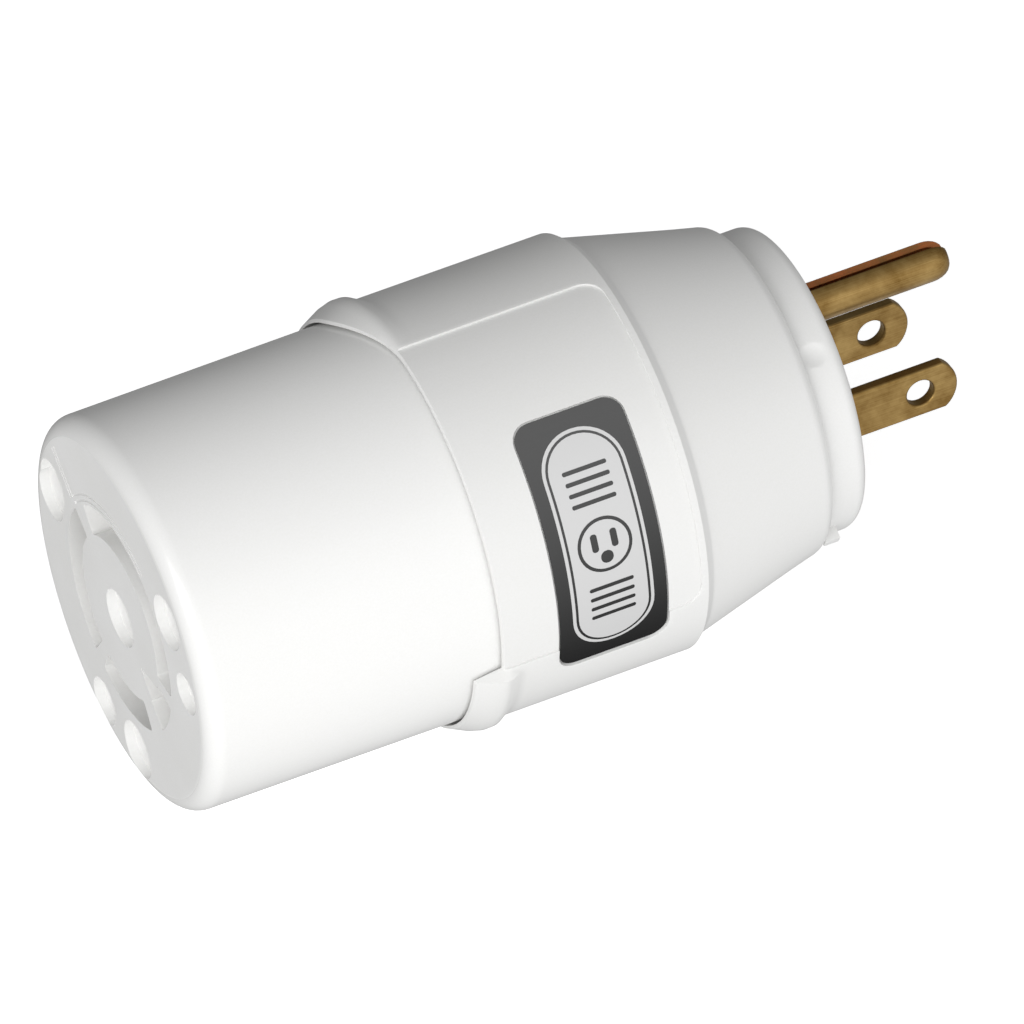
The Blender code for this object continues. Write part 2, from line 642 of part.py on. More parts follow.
def cover_screws(b, steel):
    """Two screws that hold the cover to the carrier, driven towards the face."""
    seat = CARRIER_BACK_Z + GAP + COVER_THICKNESS + GAP
    for number, angle in enumerate(COVER_SCREW_ANGLES, start=1):
        x, y = polar(COVER_SCREW_RADIUS, angle)
        driven_screw(b, f"cover_screw_{number}", 8.5, steel, location=(x, y, seat), rotation=(180, 0, 0))


def contacts(b, brass):
    """Spring contacts: two curved leaves joined at the back, with a flat terminal tail."""
    back = CARRIER_FRONT_Z + CELL_DEPTH - GAP
    front = back - CONTACT_DEPTH
    outer = SLOT_OUTER_RADIUS + CELL_MARGIN - GAP
    inner = SLOT_INNER_RADIUS - CELL_MARGIN + GAP
    sheet = CONTACT_SHEET
    channel = [
        (inner, front), (inner + sheet, front), (inner + sheet, back - sheet), (outer - sheet, back - sheet),
        (outer - sheet, front), (outer, front), (outer, back), (inner, back),
    ]
    for name, angle in CONTACT_ANGLES.items():
        half = CONTACT_SPREAD / 2
        contact = b.sector(name + "_contact", channel, angle - half, angle + half, 6, brass)
        x, y = polar(TAIL_RADIUS, angle)
        low = back - sheet / 2
        size = (TAIL_THICKNESS, TAIL_WIDTH, TAIL_END_Z - low)
        place = {"location": (x, y, (low + TAIL_END_Z) / 2), "rotation": (0, 0, angle)}
        b.cut(contact, b.block(name + "_tail", size, **place), operation="UNION")
        hole = b.cylinder("tail_hole", TERMINAL_HOLE_RADIUS, -2, 2, location=(x, y, TERMINAL_Z),
                          rotation=(0, 90, angle), segments=16)
        b.cut(contact, hole)


def terminals(b, tinned, steel):
    """A crimped ring terminal and its screw on the outer side of each contact tail."""
    half = TERMINAL_THICKNESS / 2
    for name, angle in CONTACT_ANGLES.items():
        x, y = polar(TERMINAL_RADIUS, angle)
        place = {"location": (x, y, TERMINAL_Z), "rotation": (0, 90, angle)}
        ring = b.cylinder(name + "_terminal", TERMINAL_RING_RADIUS, -half, half, tinned, segments=24, **place)
        neck_low = TERMINAL_Z + TERMINAL_HOLE_RADIUS + 0.6
        neck_high = BARREL_Z + 0.8
        neck = b.block("terminal_neck", (TERMINAL_THICKNESS, 3.2, neck_high - neck_low),
                       location=(x, y, (neck_low + neck_high) / 2), rotation=(0, 0, angle))
        axis = (*polar(BARREL_AXIS_RADIUS, angle), 0)
        top = BARREL_Z + BARREL_LENGTH
        barrel = b.cylinder("terminal_barrel", BARREL_RADIUS, BARREL_Z, top, segments=16, location=axis)
        b.cut(ring, neck, barrel, operation="UNION")
        b.cut(ring, b.cylinder("ring_hole", TERMINAL_HOLE_RADIUS, -2, 2, segments=16, **place))
        bore = b.cylinder("barrel_bore", BARREL_RADIUS - BARREL_WALL, BARREL_Z + BARREL_FLOOR,
                          top + OVERSHOOT, location=axis, segments=16)
        b.cut(ring, bore)
        head = polar(TERMINAL_RADIUS + half + GAP, angle)
        driven_screw(b, name + "_terminal_screw", SCREW_LENGTH, steel, location=(*head, TERMINAL_Z),
                     rotation=(0, -90, angle))


def smooth_path(points, steps):
    """A Catmull-Rom curve through the points."""
    ends = [Vector(points[0]) * 2 - Vector(points[1]), *map(Vector, points),
            Vector(points[-1]) * 2 - Vector(points[-2])]
    path = []
    for p0, p1, p2, p3 in zip(ends, ends[1:], ends[2:], ends[3:]):
        for i in range(steps):
            t = i / steps
            path.append(0.5 * ((2 * p1) + (p2 - p0) * t + (2 * p0 - 5 * p1 + 4 * p2 - p3) * t * t
                               + (3 * p1 - p0 - 3 * p2 + p3) * t * t * t))
    return [*path, Vector(points[-1])]


def leads(b, jackets):
    """Insulated leads from the terminals' barrels to the blades' tails and the ground pin."""
    side_x = BLADE_SPACING / 2 + BLADE_THICKNESS / 2 + GAP + LEAD_RADIUS
    tail_z = BLADE_TAIL_END_Z + 4.0
    pin_z = NOSE_BOSS_END_Z - RETAINER_THICKNESS - 6.0 - GAP
    landing = {
        "line": (-side_x, BLADE_LINE_Y, tail_z),
        "neutral": (side_x, BLADE_LINE_Y, tail_z),
        "ground": (0, BLADE_LINE_Y + GROUND_OFFSET, pin_z),
    }
    way_between = {
        "line": [(*polar(BARREL_AXIS_RADIUS, 138), 0.35), (*polar(BARREL_AXIS_RADIUS - 2.0, 168), 0.7)],
        "neutral": [
            (*polar(BARREL_AXIS_RADIUS - 0.4, 350), 0.35), (*polar(BARREL_AXIS_RADIUS - 3.0, 340), 0.7),
        ],
        "ground": [(0, -7.5, 0.35), (0, 3.5, 0.7)],
    }
    for name, angle in CONTACT_ANGLES.items():
        x, y = polar(BARREL_AXIS_RADIUS, angle)
        end = landing[name]
        low = BARREL_Z + BARREL_LENGTH + 1.0
        high = end[2] - 4.0
        points = [(x, y, BARREL_Z + BARREL_FLOOR + GAP), (x, y, low), (x, y, low + 1.5)]
        points += [(via_x, via_y, low + (high - low) * part) for via_x, via_y, part in way_between[name]]
        points += [(end[0], end[1], high), (end[0], end[1], high + 1.5), end]
        b.tube(name + "_lead", smooth_path(points, 4), LEAD_RADIUS, jackets[name])


def label_plate(b, print_black):
    """Thin rounded label bent round the collar."""
    radius = COLLAR_RADIUS - LABEL_POCKET_DEPTH - LABEL_THICKNESS + GAP
    b.wrapped("label_plate", radius, LABEL_ANGLES, LABEL_SPAN_Z, LABEL_CORNER, LABEL_THICKNESS, print_black)


def main():
    for old in list(bpy.data.objects):
        bpy.data.objects.remove(old)
    b = Builder()
    nylon = make_material("white_nylon", "#E9E9E8", 0.28)
    phenolic = make_material("grey_phenolic", "#B9B7B0", 0.45)
    brass = make_material("brass", "#8C6F3C", 0.32, 1.0)
    steel = make_material("zinc_plated_steel", "#B8BAB8", 0.35, 1.0)
    tinned = make_material("tinned_copper", "#C4C2BC", 0.4, 1.0)
    print_black = make_material("label_print", "#4A4A4A", 0.4)
    jackets = {
        "line": make_material("lead_black", "#1E1E1E", 0.5),
        "neutral": make_material("lead_white", "#DADAD6", 0.5),
        "ground": make_material("lead_green", "#1F6B3A", 0.5),
    }
    receptacle_body(b, nylon)
    rear_shell(b, nylon)
    plug_nose(b, nylon)
    label_plate(b, print_black)
    contact_carrier(b, phenolic)
    carrier_cover(b, phenolic)
    cover_screws(b, steel)
    contacts(b, brass)
    terminals(b, tinned, steel)
    leads(b, jackets)
    blades(b, brass)
    ground_pin(b, brass)
    blade_retainer(b, phenolic)
    retainer_screws(b, steel)


main()
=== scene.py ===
"""Power adapter: a straight-blade plug at one end and a locking receptacle at the other.

Sizes are in millimetres and angles in degrees, in the section frame: the adapter stands upright with
its plug face at height zero, x runs to the neutral blade and y to the ground pin. Each finished piece
is then laid along the row's X axis.
"""

import json
from math import asin, atan2, cos, degrees, hypot, pi, radians, sin

import bmesh
import bpy
from mathutils import Matrix, Vector


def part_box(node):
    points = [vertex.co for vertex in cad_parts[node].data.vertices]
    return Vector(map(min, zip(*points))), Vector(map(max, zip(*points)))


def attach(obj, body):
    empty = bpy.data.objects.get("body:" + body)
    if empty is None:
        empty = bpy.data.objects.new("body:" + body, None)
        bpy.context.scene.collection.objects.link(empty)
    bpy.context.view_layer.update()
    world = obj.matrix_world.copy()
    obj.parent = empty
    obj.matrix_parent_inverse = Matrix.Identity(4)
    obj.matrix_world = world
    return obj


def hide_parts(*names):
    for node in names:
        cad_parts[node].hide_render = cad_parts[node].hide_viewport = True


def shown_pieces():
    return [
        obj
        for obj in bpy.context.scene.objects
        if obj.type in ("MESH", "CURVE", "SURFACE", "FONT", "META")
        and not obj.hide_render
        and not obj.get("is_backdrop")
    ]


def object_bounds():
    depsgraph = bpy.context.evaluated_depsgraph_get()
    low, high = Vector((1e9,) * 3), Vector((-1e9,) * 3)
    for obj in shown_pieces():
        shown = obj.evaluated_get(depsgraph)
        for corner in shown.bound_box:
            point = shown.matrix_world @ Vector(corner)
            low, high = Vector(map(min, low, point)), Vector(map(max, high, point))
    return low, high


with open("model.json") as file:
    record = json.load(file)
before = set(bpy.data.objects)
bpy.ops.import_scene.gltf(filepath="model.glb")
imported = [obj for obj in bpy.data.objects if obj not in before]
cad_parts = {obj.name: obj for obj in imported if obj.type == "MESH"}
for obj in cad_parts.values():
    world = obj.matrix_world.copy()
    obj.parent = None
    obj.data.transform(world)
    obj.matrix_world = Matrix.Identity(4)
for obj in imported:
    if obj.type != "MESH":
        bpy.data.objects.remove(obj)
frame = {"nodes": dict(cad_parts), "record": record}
CAD_LOW, CAD_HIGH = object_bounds()

bl_info = {
    "name": "Power adapter",
    "version": (1, 0, 0),
    "blender": (4, 5, 0),
    "location": "3D View > Sidebar > Adapter",
    "description": "Models and finishes a locking receptacle to straight-blade plug adapter",
    "category": "Object",
}

MM = 0.001
# Steps round the axis, on the round pieces.
SEGMENTS = 240
# Section frame to row frame: height to X, x to Y and y to Z.
SECTION_TO_ROW = Matrix(((0, 0, 1, 0), (1, 0, 0, 0), (0, 1, 0, 0), (0, 0, 0, 1)))


def node_box(node):
    """A CAD node's (low, high) corners in the section frame, in millimetres."""
    low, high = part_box(node)
    return [(p[1] / MM, p[2] / MM, p[0] / MM) for p in (low, high)]


FACE_Z = node_box("receptacle_body")[0][2]
COLLAR_RADIUS = node_box("rear_shell")[1][0] - 0.002
NOSE_RADIUS = node_box("plug_nose")[1][0]
BLADE_LOW, BLADE_HIGH = node_box("neutral_blade")
PIN_LOW, PIN_HIGH = node_box("ground_pin")
LABEL_LOW, LABEL_HIGH = node_box("label_plate")


# ---- sizes and colours


def length(name, description, default):
    """A size in millimetres, kept in metres as Blender does."""
    return bpy.props.FloatProperty(
        name=name, description=description, default=default * MM, min=0.0, precision=5,
        subtype="DISTANCE", unit="LENGTH",
    )


def angle_size(name, description, default):
    """An angle in degrees, kept in radians."""
    return bpy.props.FloatProperty(
        name=name, description=description, default=radians(default), subtype="ANGLE", unit="ROTATION",
    )


def linear(hex_colour):
    """Linear RGBA of an sRGB hex colour."""
    channels = [int(hex_colour[i : i + 2], 16) / 255 for i in (1, 3, 5)]
    return (*[c / 12.92 if c <= 0.04045 else ((c + 0.055) / 1.055) ** 2.4 for c in channels], 1.0)


def colour(name, description, hex_colour):
    """A colour given as sRGB hex and kept linear."""
    return bpy.props.FloatVectorProperty(
        name=name, description=description, default=linear(hex_colour), size=4, min=0.0, max=1.0,
        subtype="COLOR",
    )


class AdapterBodySizes(bpy.types.PropertyGroup):
    """Receptacle body and its face."""

    radius: length("Radius", "Radius of the body where it meets the collar", 23.45)
    draft: length("Draft", "How much slimmer the body is at its face", 0.15)
    fillet: length("Face fillet", "Rounding round the face", 2.3)
    wall: length("Face wall", "Thickness of the face", 4.2)
    bore: length("Bore", "Radius of the bore behind the face", 19.9)
    slot_inner: length("Slot inner radius", "Inner radius of the locking slots", 9.8)
    slot_outer: length("Slot outer radius", "Outer radius of the locking slots", 13.4)
    pocket_depth: length("Pocket depth", "Depth of the round pockets in the face", 1.2)
    soft_edge: length("Soft edge", "Rounding of the slots' and pockets' edges", 0.22)


class AdapterShellSizes(bpy.types.PropertyGroup):
    """Collar, shoulder and cone."""

    collar_radius: length("Collar radius", "Outer radius of the collar", COLLAR_RADIUS)
    flare: length("Tab flare", "How far the lip's tabs stand out from the collar", 0.78)
    shoulder_radius: length("Shoulder radius", "Radius where the cone starts", 23.65)
    cone_radius: length("Cone radius", "Radius at the cone's small end", 19.6)
    panel_depth: length("Panel depth", "Depth of the shallow panel in the collar", 0.25)
    nose_radius: length("Nose radius", "Radius of the plug nose", NOSE_RADIUS)
    nose_fillet: length("Nose fillet", "Rounding round the plug face", 1.4)


class AdapterPinSizes(bpy.types.PropertyGroup):
    """Blades and ground pin."""

    blade_width: length("Blade width", "Width of a blade", BLADE_HIGH[1] - BLADE_LOW[1])
    blade_thickness: length("Blade thickness", "Thickness of a blade", BLADE_HIGH[0] - BLADE_LOW[0])
    blade_length: length("Blade length", "Length of a blade past the plug face", BLADE_HIGH[2])
    tip_rise: length("Tip rise", "How far the blade's rounded end stands past its corners", 1.65)
    coining: length("Coining", "Rounding of a blade's edges", 0.34)
    hole_radius: length("Hole radius", "Radius of the hole in a blade", 1.65)
    pin_radius: length("Pin radius", "Outer radius of the ground pin", (PIN_HIGH[0] - PIN_LOW[0]) / 2)
    pin_wall: length("Pin wall", "Thickness of the sheet that the pin is rolled from", 0.75)
    pin_slit: angle_size("Pin slit", "Angle that the pin's slit takes up", 54)
    pin_turn: angle_size("Slit turn", "How far the slit is turned from the top", 15)


class AdapterColours(bpy.types.PropertyGroup):
    """Colours of the finishes."""

    nylon: colour("Nylon", "White moulded nylon", "#F5F5F4")
    nylon_shade: colour("Nylon shade", "The nylon's slightly deeper tone", "#F1F1EF")
    # The face's colours are a little greyer than the body's nylon: painted shade for the face's darker look.
    face: colour("Face", "Textured nylon of the face", "#F1F1F0")
    face_shade: colour("Face shade", "The face's deeper tone", "#ECECEA")
    shell: colour("Shell nylon", "White nylon of the collar, cone and nose", "#EDEDEC")
    shell_shade: colour("Shell nylon shade", "The shell's slightly deeper tone", "#E9E9E7")
    resin: colour("Resin", "Moulded insulating resin inside", "#DEDCD6")
    brass: colour("Brass", "Stamped brass", "#AC8F5A")
    brass_tarnish: colour("Brass tarnish", "Tarnish on the brass", "#7A5C2C")
    brass_heat: colour("Heat tone", "Copper-red tone inside the rolled pin", "#B4602A")
    # Upper and lower ink tones: lit and shaded copies of one ink, for painted light down the label.
    ink: colour("Ink", "Upper tone of the label's ink", "#5E5E5E")
    ink_shaded: colour("Dark ink", "Lower tone of the label's ink", "#0C0C0C")
    paper: colour("Label field", "Pale field of the label", "#D9D9D9")
    tin: colour("Tin", "Tin plate on the terminals", "#C9C7C0")
    zinc: colour("Zinc", "Zinc plate on the screws", "#B9BBB8")


# ---- modelling helpers


def arc(centre, radius, start, end, steps):
    """Points of an arc in the profile plane, both ends included."""
    turns = [radians(start + (end - start) * i / steps) for i in range(steps + 1)]
    return [(centre[0] + radius * cos(a), centre[1] + radius * sin(a)) for a in turns]


def steps_between(low, high, spacing):
    """Evenly spaced values from low to high, without low."""
    count = max(1, round(abs(high - low) / spacing))
    return [low + (high - low) * i / count for i in range(1, count + 1)]


def polar(radius, angle):
    return radius * cos(radians(angle)), radius * sin(radians(angle))


def clear_selection():
    if bpy.context.object and bpy.context.object.mode != "OBJECT":
        bpy.ops.object.mode_set(mode="OBJECT")
    bpy.ops.object.select_all(action="DESELECT")


def select_only(obj):
    clear_selection()
    obj.select_set(True)
    bpy.context.view_layer.objects.active = obj


def settle():
    """Moves the active piece's place, turn and scale into its mesh."""
    bpy.ops.object.transform_apply(location=True, rotation=True, scale=True)


def edit(obj):
    """Opens a piece alone in edit mode."""
    select_only(obj)
    bpy.ops.object.mode_set(mode="EDIT")


def pick(obj, wanted, kind="verts"):
    """Selects only the elements that the test accepts."""
    bpy.ops.mesh.select_mode(type={"verts": "VERT", "edges": "EDGE", "faces": "FACE"}[kind])
    bpy.ops.mesh.select_all(action="DESELECT")
    shape = bmesh.from_edit_mesh(obj.data)
    for part in getattr(shape, kind):
        if wanted(part):
            part.select_set(True)
    shape.select_flush_mode()
    bmesh.update_edit_mesh(obj.data)


def close_up(obj):
    """Merges doubles and turns every face outwards."""
    edit(obj)
    bpy.ops.mesh.select_all(action="SELECT")
    bpy.ops.mesh.remove_doubles(threshold=1e-6)
    bpy.ops.mesh.normals_make_consistent(inside=False)
    bpy.ops.object.mode_set(mode="OBJECT")


EDGES = bpy.ops.mesh.extrude_edges_move
FACES = bpy.ops.mesh.extrude_region_move


def grow(extrude, distance, height, wide=1, deep=1):
    """Extrudes the selection along the axis, then scales it at the height it has reached."""
    extrude(TRANSFORM_OT_translate={"value": (0, 0, distance * MM)})
    if (wide, deep) != (1, 1):
        bpy.ops.transform.resize(value=(wide, deep, 1), center_override=(0, 0, height * MM))


def turn_up(profile, front=False, back=False):
    """A ring grown by extruding and scaling it through a (radius, height) profile.

    front and back fill the first and the last ring. A profile that ends where it began closes on itself.
    """
    clear_selection()
    radius, height = profile[0]
    bpy.ops.mesh.primitive_circle_add(vertices=SEGMENTS, radius=radius * MM, location=(0, 0, height * MM))
    obj = bpy.context.object
    settle()
    edit(obj)
    bpy.ops.mesh.select_mode(type="EDGE")
    bpy.ops.mesh.select_all(action="SELECT")
    if front:
        bpy.ops.mesh.edge_face_add()
    for (r0, z0), (r1, z1) in zip(profile, profile[1:]):
        if front and (r0, z0) == profile[0]:
            pick(obj, lambda edge: True, "edges")
        grow(EDGES, z1 - z0, z1, r1 / r0, r1 / r0)
    if back:
        bpy.ops.mesh.edge_face_add()
    close_up(obj)
    return obj


def swept_slot(inner, outer, low, high, start, end, corner):
    """Cutter for an arc slot: its upright section spun round the axis, with softened ends."""
    clear_selection()
    x, y = polar((inner + outer) / 2, start)
    place = (x * MM, y * MM, (low + high) / 2 * MM)
    bpy.ops.mesh.primitive_plane_add(size=1, location=place, rotation=(pi / 2, 0, radians(start)))
    obj = bpy.context.object
    obj.scale = ((outer - inner) * MM, (high - low) * MM, 1)
    settle()
    edit(obj)
    bpy.ops.mesh.select_all(action="SELECT")
    # Without a window a spin turns clockwise for a positive angle.
    steps = max(4, round((end - start) / 2))
    bpy.ops.mesh.spin(steps=steps, angle=radians(start - end), center=(0, 0, 0), axis=(0, 0, 1))
    pick(obj, lambda e: upright(e) and on_ends(e, start, end), "edges")
    bpy.ops.mesh.bevel(offset=corner * MM, segments=5, affect="EDGES")
    close_up(obj)
    return obj


def upright(edge):
    one, two = (v.co for v in edge.verts)
    return hypot(one.x - two.x, one.y - two.y) < 1e-6


def on_ends(edge, start, end):
    place = edge.verts[0].co
    turn = degrees(atan2(place.y, place.x))
    return any(abs((turn - angle + 180) % 360 - 180) < 0.3 for angle in (start, end))


def drill(radius, low, high, x=0.0, y=0.0, segments=64):
    """Cutter for a round hole or pocket."""
    clear_selection()
    bpy.ops.mesh.primitive_cylinder_add(
        vertices=segments, radius=radius * MM, depth=(high - low) * MM,
        location=(x * MM, y * MM, (low + high) / 2 * MM),
    )
    return bpy.context.object


def bar(size, place, turn=0.0):
    """A cube primitive given its size, place and turn about the axis."""
    clear_selection()
    bpy.ops.mesh.primitive_cube_add(size=1, location=[c * MM for c in place], rotation=(0, 0, radians(turn)))
    obj = bpy.context.object
    obj.scale = [s * MM for s in size]
    settle()
    return obj


def apply_modifier(obj, kind, **settings):
    """Adds a modifier with its settings and applies it."""
    select_only(obj)
    made = obj.modifiers.new(kind.lower(), kind)
    for key, value in settings.items():
        setattr(made, key, value)
    bpy.ops.object.modifier_apply(modifier=made.name)


def cut(obj, *cutters, operation="DIFFERENCE"):
    for cutter in cutters:
        apply_modifier(obj, "BOOLEAN", object=cutter, operation=operation, solver="EXACT")
        bpy.data.objects.remove(cutter)


def soften(obj, width, segments=2, angle=50):
    """Rounds the edges that turn more than an angle."""
    apply_modifier(
        obj, "BEVEL", width=width * MM, segments=segments, limit_method="ANGLE",
        angle_limit=radians(angle), use_clamp_overlap=True, miter_outer="MITER_ARC",
    )


def join(main, *others):
    select_only(main)
    for other in others:
        other.select_set(True)
    bpy.ops.object.join()


def smooth(obj):
    """Smooth shading with flat areas kept flat."""
    select_only(obj)
    bpy.ops.object.shade_smooth_by_angle(angle=radians(35))
    apply_modifier(obj, "WEIGHTED_NORMAL", keep_sharp=True, weight=50)


def finish_piece(obj, name, slot, *nodes):
    """Lays a piece along the row's X axis and puts it in place of its CAD nodes."""
    select_only(obj)
    obj.matrix_world = SECTION_TO_ROW @ obj.matrix_world
    settle()
    obj.name = name
    obj.data.name = name
    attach(obj, "root")
    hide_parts(*nodes)


# ---- finishes


def add_node(tree, kind, settings=None, links=None):
    """Adds a node, sets its attributes and socket values, and links its sockets to nodes or outputs."""
    node = tree.nodes.new("ShaderNode" + kind)
    for key, value in (settings or {}).items():
        if hasattr(node, str(key)):
            setattr(node, key, value)
        else:
            open_socket(node.inputs, key).default_value = value
    for key, source in (links or {}).items():
        output = source if isinstance(source, bpy.types.NodeSocket) else open_socket(source.outputs)
        tree.links.new(output, open_socket(node.inputs, key))
    return node


def open_socket(sockets, key=0):
    """A socket in use, by its name or its place among those in use."""
    in_use = [socket for socket in sockets if socket.enabled]
    return in_use[key] if isinstance(key, int) else next(socket for socket in in_use if socket.name == key)


def new_finish(name):
    """An empty material, its tree and its Object coordinates."""
    made = bpy.data.materials.new(name)
    made.use_nodes = True
    tree = made.node_tree
    tree.nodes.clear()
    return made, tree, add_node(tree, "TexCoord").outputs["Object"]


def per_metre(millimetres):
    """Texture scale that repeats about once in so many millimetres."""
    return 1 / (millimetres * MM)


def dimmed(base, share, lift=0.0):
    """A colour's channels scaled by a share and raised by a lift."""
    return [c * share + lift for c in base[:3]] + [1.0]


def close_finish(made, tree, body, uneven, gloss, relief, depth, settings=None, spread=(0.3, 0.7)):
    """Ends a finish: its roughness, its relief in millimetres, its shader and the output."""
    rough = add_node(
        tree, "MapRange",
        {"From Min": spread[0], "From Max": spread[1], "To Min": gloss[0], "To Max": gloss[1]},
        {"Value": uneven},
    )
    bump = add_node(tree, "Bump", {"Distance": depth * MM}, {"Height": relief})
    shader = add_node(
        tree, "BsdfPrincipled", settings, {"Base Color": body, "Roughness": rough, "Normal": bump}
    )
    add_node(tree, "OutputMaterial", links={"Surface": shader})
    return made


def nylon_finish(name, gloss, tone, shade):
    """Injection-moulded white nylon: a clean gloss over a faintly milky body."""
    made, tree, place = new_finish(name)
    # Milky patches where the melt flowed, tens of millimetres across, under a fine even haze.
    flow = add_node(tree, "TexNoise", {"Scale": per_metre(30), "Detail": 0.0}, {"Vector": place})
    haze = add_node(tree, "TexNoise", {"Scale": per_metre(0.25), "Detail": 1.0}, {"Vector": place})
    milk = add_node(tree, "Math", {"operation": "MULTIPLY_ADD", 1: 1.2}, {0: haze, 2: flow})
    patch = add_node(tree, "MapRange", {"From Min": 0.6, "From Max": 1.6}, {"Value": milk})
    body = add_node(tree, "Mix", {"data_type": "RGBA", "A": shade, "B": tone}, {"Factor": patch})
    # The tool's polish varies over a few millimetres, which softens the highlights' edges unevenly.
    polish = add_node(tree, "TexNoise", {"Scale": per_metre(6), "Detail": 2.0}, {"Vector": place})
    # Orange peel of about two millimetres with finer tool texture on it, a few microns deep.
    peel = add_node(tree, "TexNoise", {"Scale": per_metre(2.2), "Detail": 1.0}, {"Vector": place})
    fine = add_node(tree, "TexNoise", {"Scale": per_metre(0.5), "Detail": 1.0}, {"Vector": place})
    height = add_node(tree, "Math", {"operation": "MULTIPLY_ADD", 1: 0.15}, {0: fine, 2: peel})
    settings = {"IOR": 1.53, "Coat Weight": 0.15, "Coat Roughness": 0.12}
    return close_finish(made, tree, body, polish, (gloss - 0.02, gloss + 0.03), height, 0.0015, settings)


def face_finish_with_painted_shade(name, tone, shade):
    """Nylon moulded against spark-eroded steel: flatter than the polished skin, and given colours a little
    greyer as painted shade for the face's darker look.
    """
    made, tree, place = new_finish(name)
    # Pits of a quarter of a millimetre, which spread the light and hold a little shade.
    pits = add_node(tree, "TexVoronoi", {"Scale": per_metre(0.25)}, {"Vector": place})
    wear = add_node(tree, "TexNoise", {"Scale": per_metre(9), "Detail": 3.0}, {"Vector": place})
    amount = add_node(tree, "Math", {"operation": "MULTIPLY_ADD", 1: 0.35}, {0: pits, 2: wear})
    level = add_node(tree, "MapRange", {"From Min": 0.35, "From Max": 0.95}, {"Value": amount})
    body = add_node(tree, "Mix", {"data_type": "RGBA", "A": shade, "B": tone}, {"Factor": level})
    return close_finish(made, tree, body, wear, (0.42, 0.5), pits, 0.004, {"IOR": 1.53})


def brass_finish(name, base, tarnish, roughness=0.36, oxide=0.0):
    """Stamped and rolled brass with handling tarnish: warm, streaked the way the strip was drawn."""
    made, tree, place = new_finish(name)
    # Draw lines run along the strip, a tenth of a millimetre apart and nine long.
    drawn = add_node(
        tree, "Mapping", {"Scale": (per_metre(9), per_metre(0.12), per_metre(0.12))}, {"Vector": place}
    )
    streak = add_node(tree, "TexNoise", {"Scale": 1.0, "Detail": 3.0}, {"Vector": drawn})
    # Tarnish gathers in clouds of a few millimetres and dulls the metal where it lies.
    cloud = add_node(
        tree, "TexNoise", {"Scale": per_metre(3.2), "Detail": 5.0, "Roughness": 0.62}, {"Vector": place}
    )
    both = add_node(tree, "Math", {"operation": "MULTIPLY_ADD", 1: 0.4}, {0: streak, 2: cloud})
    spread = (0.5, 0.95)
    amount = add_node(tree, "MapRange", {"From Min": spread[0], "From Max": spread[1]}, {"Value": both})
    body = add_node(tree, "Mix", {"data_type": "RGBA", "A": base, "B": tarnish}, {"Factor": amount})
    gloss = (roughness - 0.06, roughness + 0.14)
    return close_finish(made, tree, body, both, gloss, streak, 0.003, {"Metallic": 1.0 - oxide}, spread)


def plated_finish(name, base, roughness):
    """Electroplated metal: pale and satin, with a soft crystalline mottle."""
    made, tree, place = new_finish(name)
    mottle = add_node(tree, "TexVoronoi", {"Scale": per_metre(0.6)}, {"Vector": place})
    cloud = add_node(tree, "TexNoise", {"Scale": per_metre(1.8), "Detail": 4.0}, {"Vector": place})
    tone = add_node(tree, "MapRange", {"From Min": 0.35, "From Max": 0.65}, {"Value": cloud})
    body = add_node(tree, "Mix", {"data_type": "RGBA", "A": dimmed(base, 0.82), "B": base}, {"Factor": tone})
    gloss = (roughness - 0.05, roughness + 0.08)
    return close_finish(made, tree, body, mottle, gloss, cloud, 0.003, {"Metallic": 1.0}, (0.0, 0.8))


def resin_finish(name, base):
    """Compression-moulded insulating resin: satin, with fine pale filler specks."""
    made, tree, place = new_finish(name)
    specks = add_node(tree, "TexVoronoi", {"Scale": per_metre(0.5)}, {"Vector": place})
    cloud = add_node(tree, "TexNoise", {"Scale": per_metre(5), "Detail": 4.0}, {"Vector": place})
    grain = add_node(tree, "MapRange", {"From Min": 0.05, "From Max": 0.5}, {"Value": specks})
    body = add_node(tree, "Mix", {"data_type": "RGBA", "A": dimmed(base, 0.88), "B": base}, {"Factor": grain})
    return close_finish(made, tree, body, cloud, (0.38, 0.52), specks, 0.006, {"IOR": 1.55})


def vinyl_finish(name, base):
    """Extruded vinyl jacket: soft satin, with die lines along the lead and a light dusting."""
    made, tree, place = new_finish(name)
    die = add_node(
        tree, "Mapping", {"Scale": (per_metre(12), per_metre(0.25), per_metre(0.25))}, {"Vector": place}
    )
    lines = add_node(tree, "TexNoise", {"Scale": 1.0, "Detail": 2.0}, {"Vector": die})
    dust = add_node(tree, "TexNoise", {"Scale": per_metre(1.4), "Detail": 5.0}, {"Vector": place})
    amount = add_node(tree, "MapRange", {"From Min": 0.45, "From Max": 0.75, "To Max": 0.6}, {"Value": dust})
    body = add_node(
        tree, "Mix", {"data_type": "RGBA", "A": base, "B": dimmed(base, 0.85, 0.06)}, {"Factor": amount}
    )
    return close_finish(made, tree, body, dust, (0.36, 0.5), lines, 0.01, {"IOR": 1.53})


